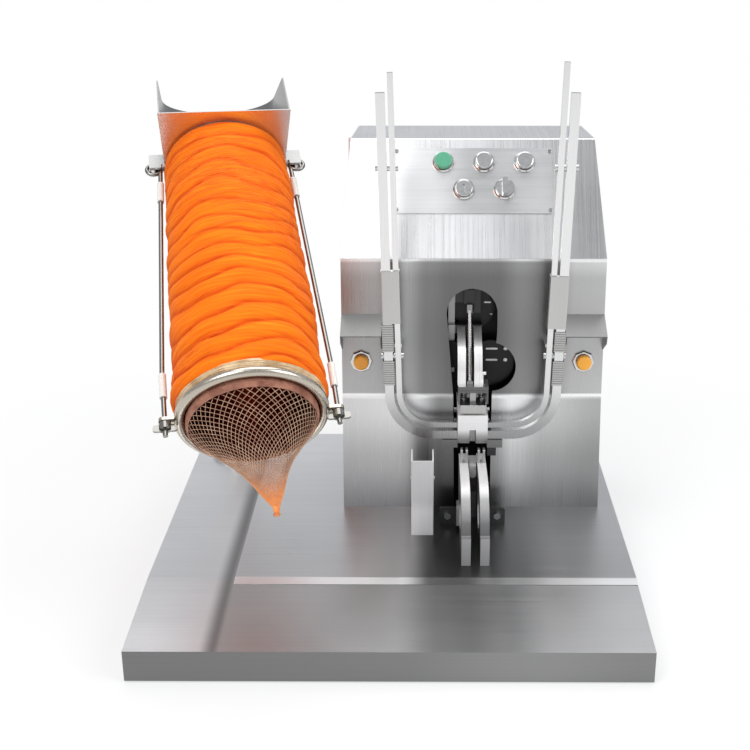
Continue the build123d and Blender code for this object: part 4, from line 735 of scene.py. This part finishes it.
def pouch(angle, share):
    """A spot on the hanging net, from the lip at 0 to the knot at 1."""
    rim = on_tube(angle, rim_radius, lip_run)
    neck = knot + (rim - mouth).normalized() * neck_radius
    spot = rim.lerp(neck, share ** 0.92)
    middle = mouth + along * 0.009
    core = middle.lerp(knot, share)
    squeeze = 0.30 * math.sin(math.pi * share) ** 1.1 * (0.35 + 0.65 * share)
    return spot.lerp(core, squeeze)


mesh_lines = []
for hand in (-1, 1):
    for n in range(cells):
        line = []
        for i in range(mesh_points):
            share = i / (mesh_points - 1)
            angle = 2 * math.pi * n / cells + hand * twist * (1 - (1 - share) ** 1.5)
            angle += 0.035 * wobble(n * 1.3, share * 4, hand * 3)
            line.append(pouch(angle, share) + along * (0.0008 * wobble(n * 2.7, share * 6, hand)))
        mesh_lines.append(line)
tail_thread = thread_material("tail_thread", (0.42, 0.22, 0.14), (0.66, 0.42, 0.28), (0.88, 0.33, 0.11))
tail = strands("net_over_mouth", mesh_lines, 0.00038, tail_thread)
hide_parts("net_tail")
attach(tail, "machine_frame")

# Rolled lip of the net round the mouth

lip_rows = 17
lip_radius = 0.0762
lip_start = 0.0020
lip_wide = 0.0112


def lip_spot(n, angle):
    x, y = math.cos(angle), math.sin(angle)
    row = n / (lip_rows - 1)
    run = tube_long + lip_start + lip_wide * row + 0.0006 * wobble(x * 2, y * 2, n)
    radius = lip_radius + 0.0006 * math.sin(math.pi * row) - 0.0015 * row ** 3
    return on_tube(angle, radius + 0.0004 * wobble(x * 4, n, 2), run)


lip_thread = thread_material("lip_thread", (0.22, 0.075, 0.045), (0.48, 0.22, 0.14))
roll = strands("net_lip_strands", ring_lines(lip_rows, 140, lip_spot), 0.00085, lip_thread, closed=True)
roll.parent = tail

# Knot: a wound band and the loose ends below it

band_rows = 7
band_radius = 0.0034
band_pitch = 0.0012
end_count = 26


def band_spot(n, angle):
    beside, ahead = band_radius * math.cos(angle), band_radius * math.sin(angle)
    return knot + Vector((beside, ahead, -band_pitch * n + 0.003))


knot_thread = thread_material("knot_thread", (0.90, 0.26, 0.06), (1.0, 0.42, 0.13))
band = strands("net_knot", ring_lines(band_rows, 30, band_spot), 0.0008, knot_thread, closed=True)
band.parent = tail
ends = []
for n in range(end_count):
    turn = n * 2.4
    flare = 0.0035 + 0.002 * abs(wobble(n, 3.3))
    drop = -0.010 - 0.003 * abs(wobble(n, 8.8))
    tip = knot + Vector((flare * math.cos(turn), flare * math.sin(turn), drop))
    root = knot + Vector((0.0015 * math.cos(turn), 0.0015 * math.sin(turn), 0))
    ends.append([root, knot.lerp(tip, 0.5), tip])
tuft = strands("net_tuft", ends, 0.00035, knot_thread)
tuft.parent = tail

scene.view_settings.view_transform = "Standard"
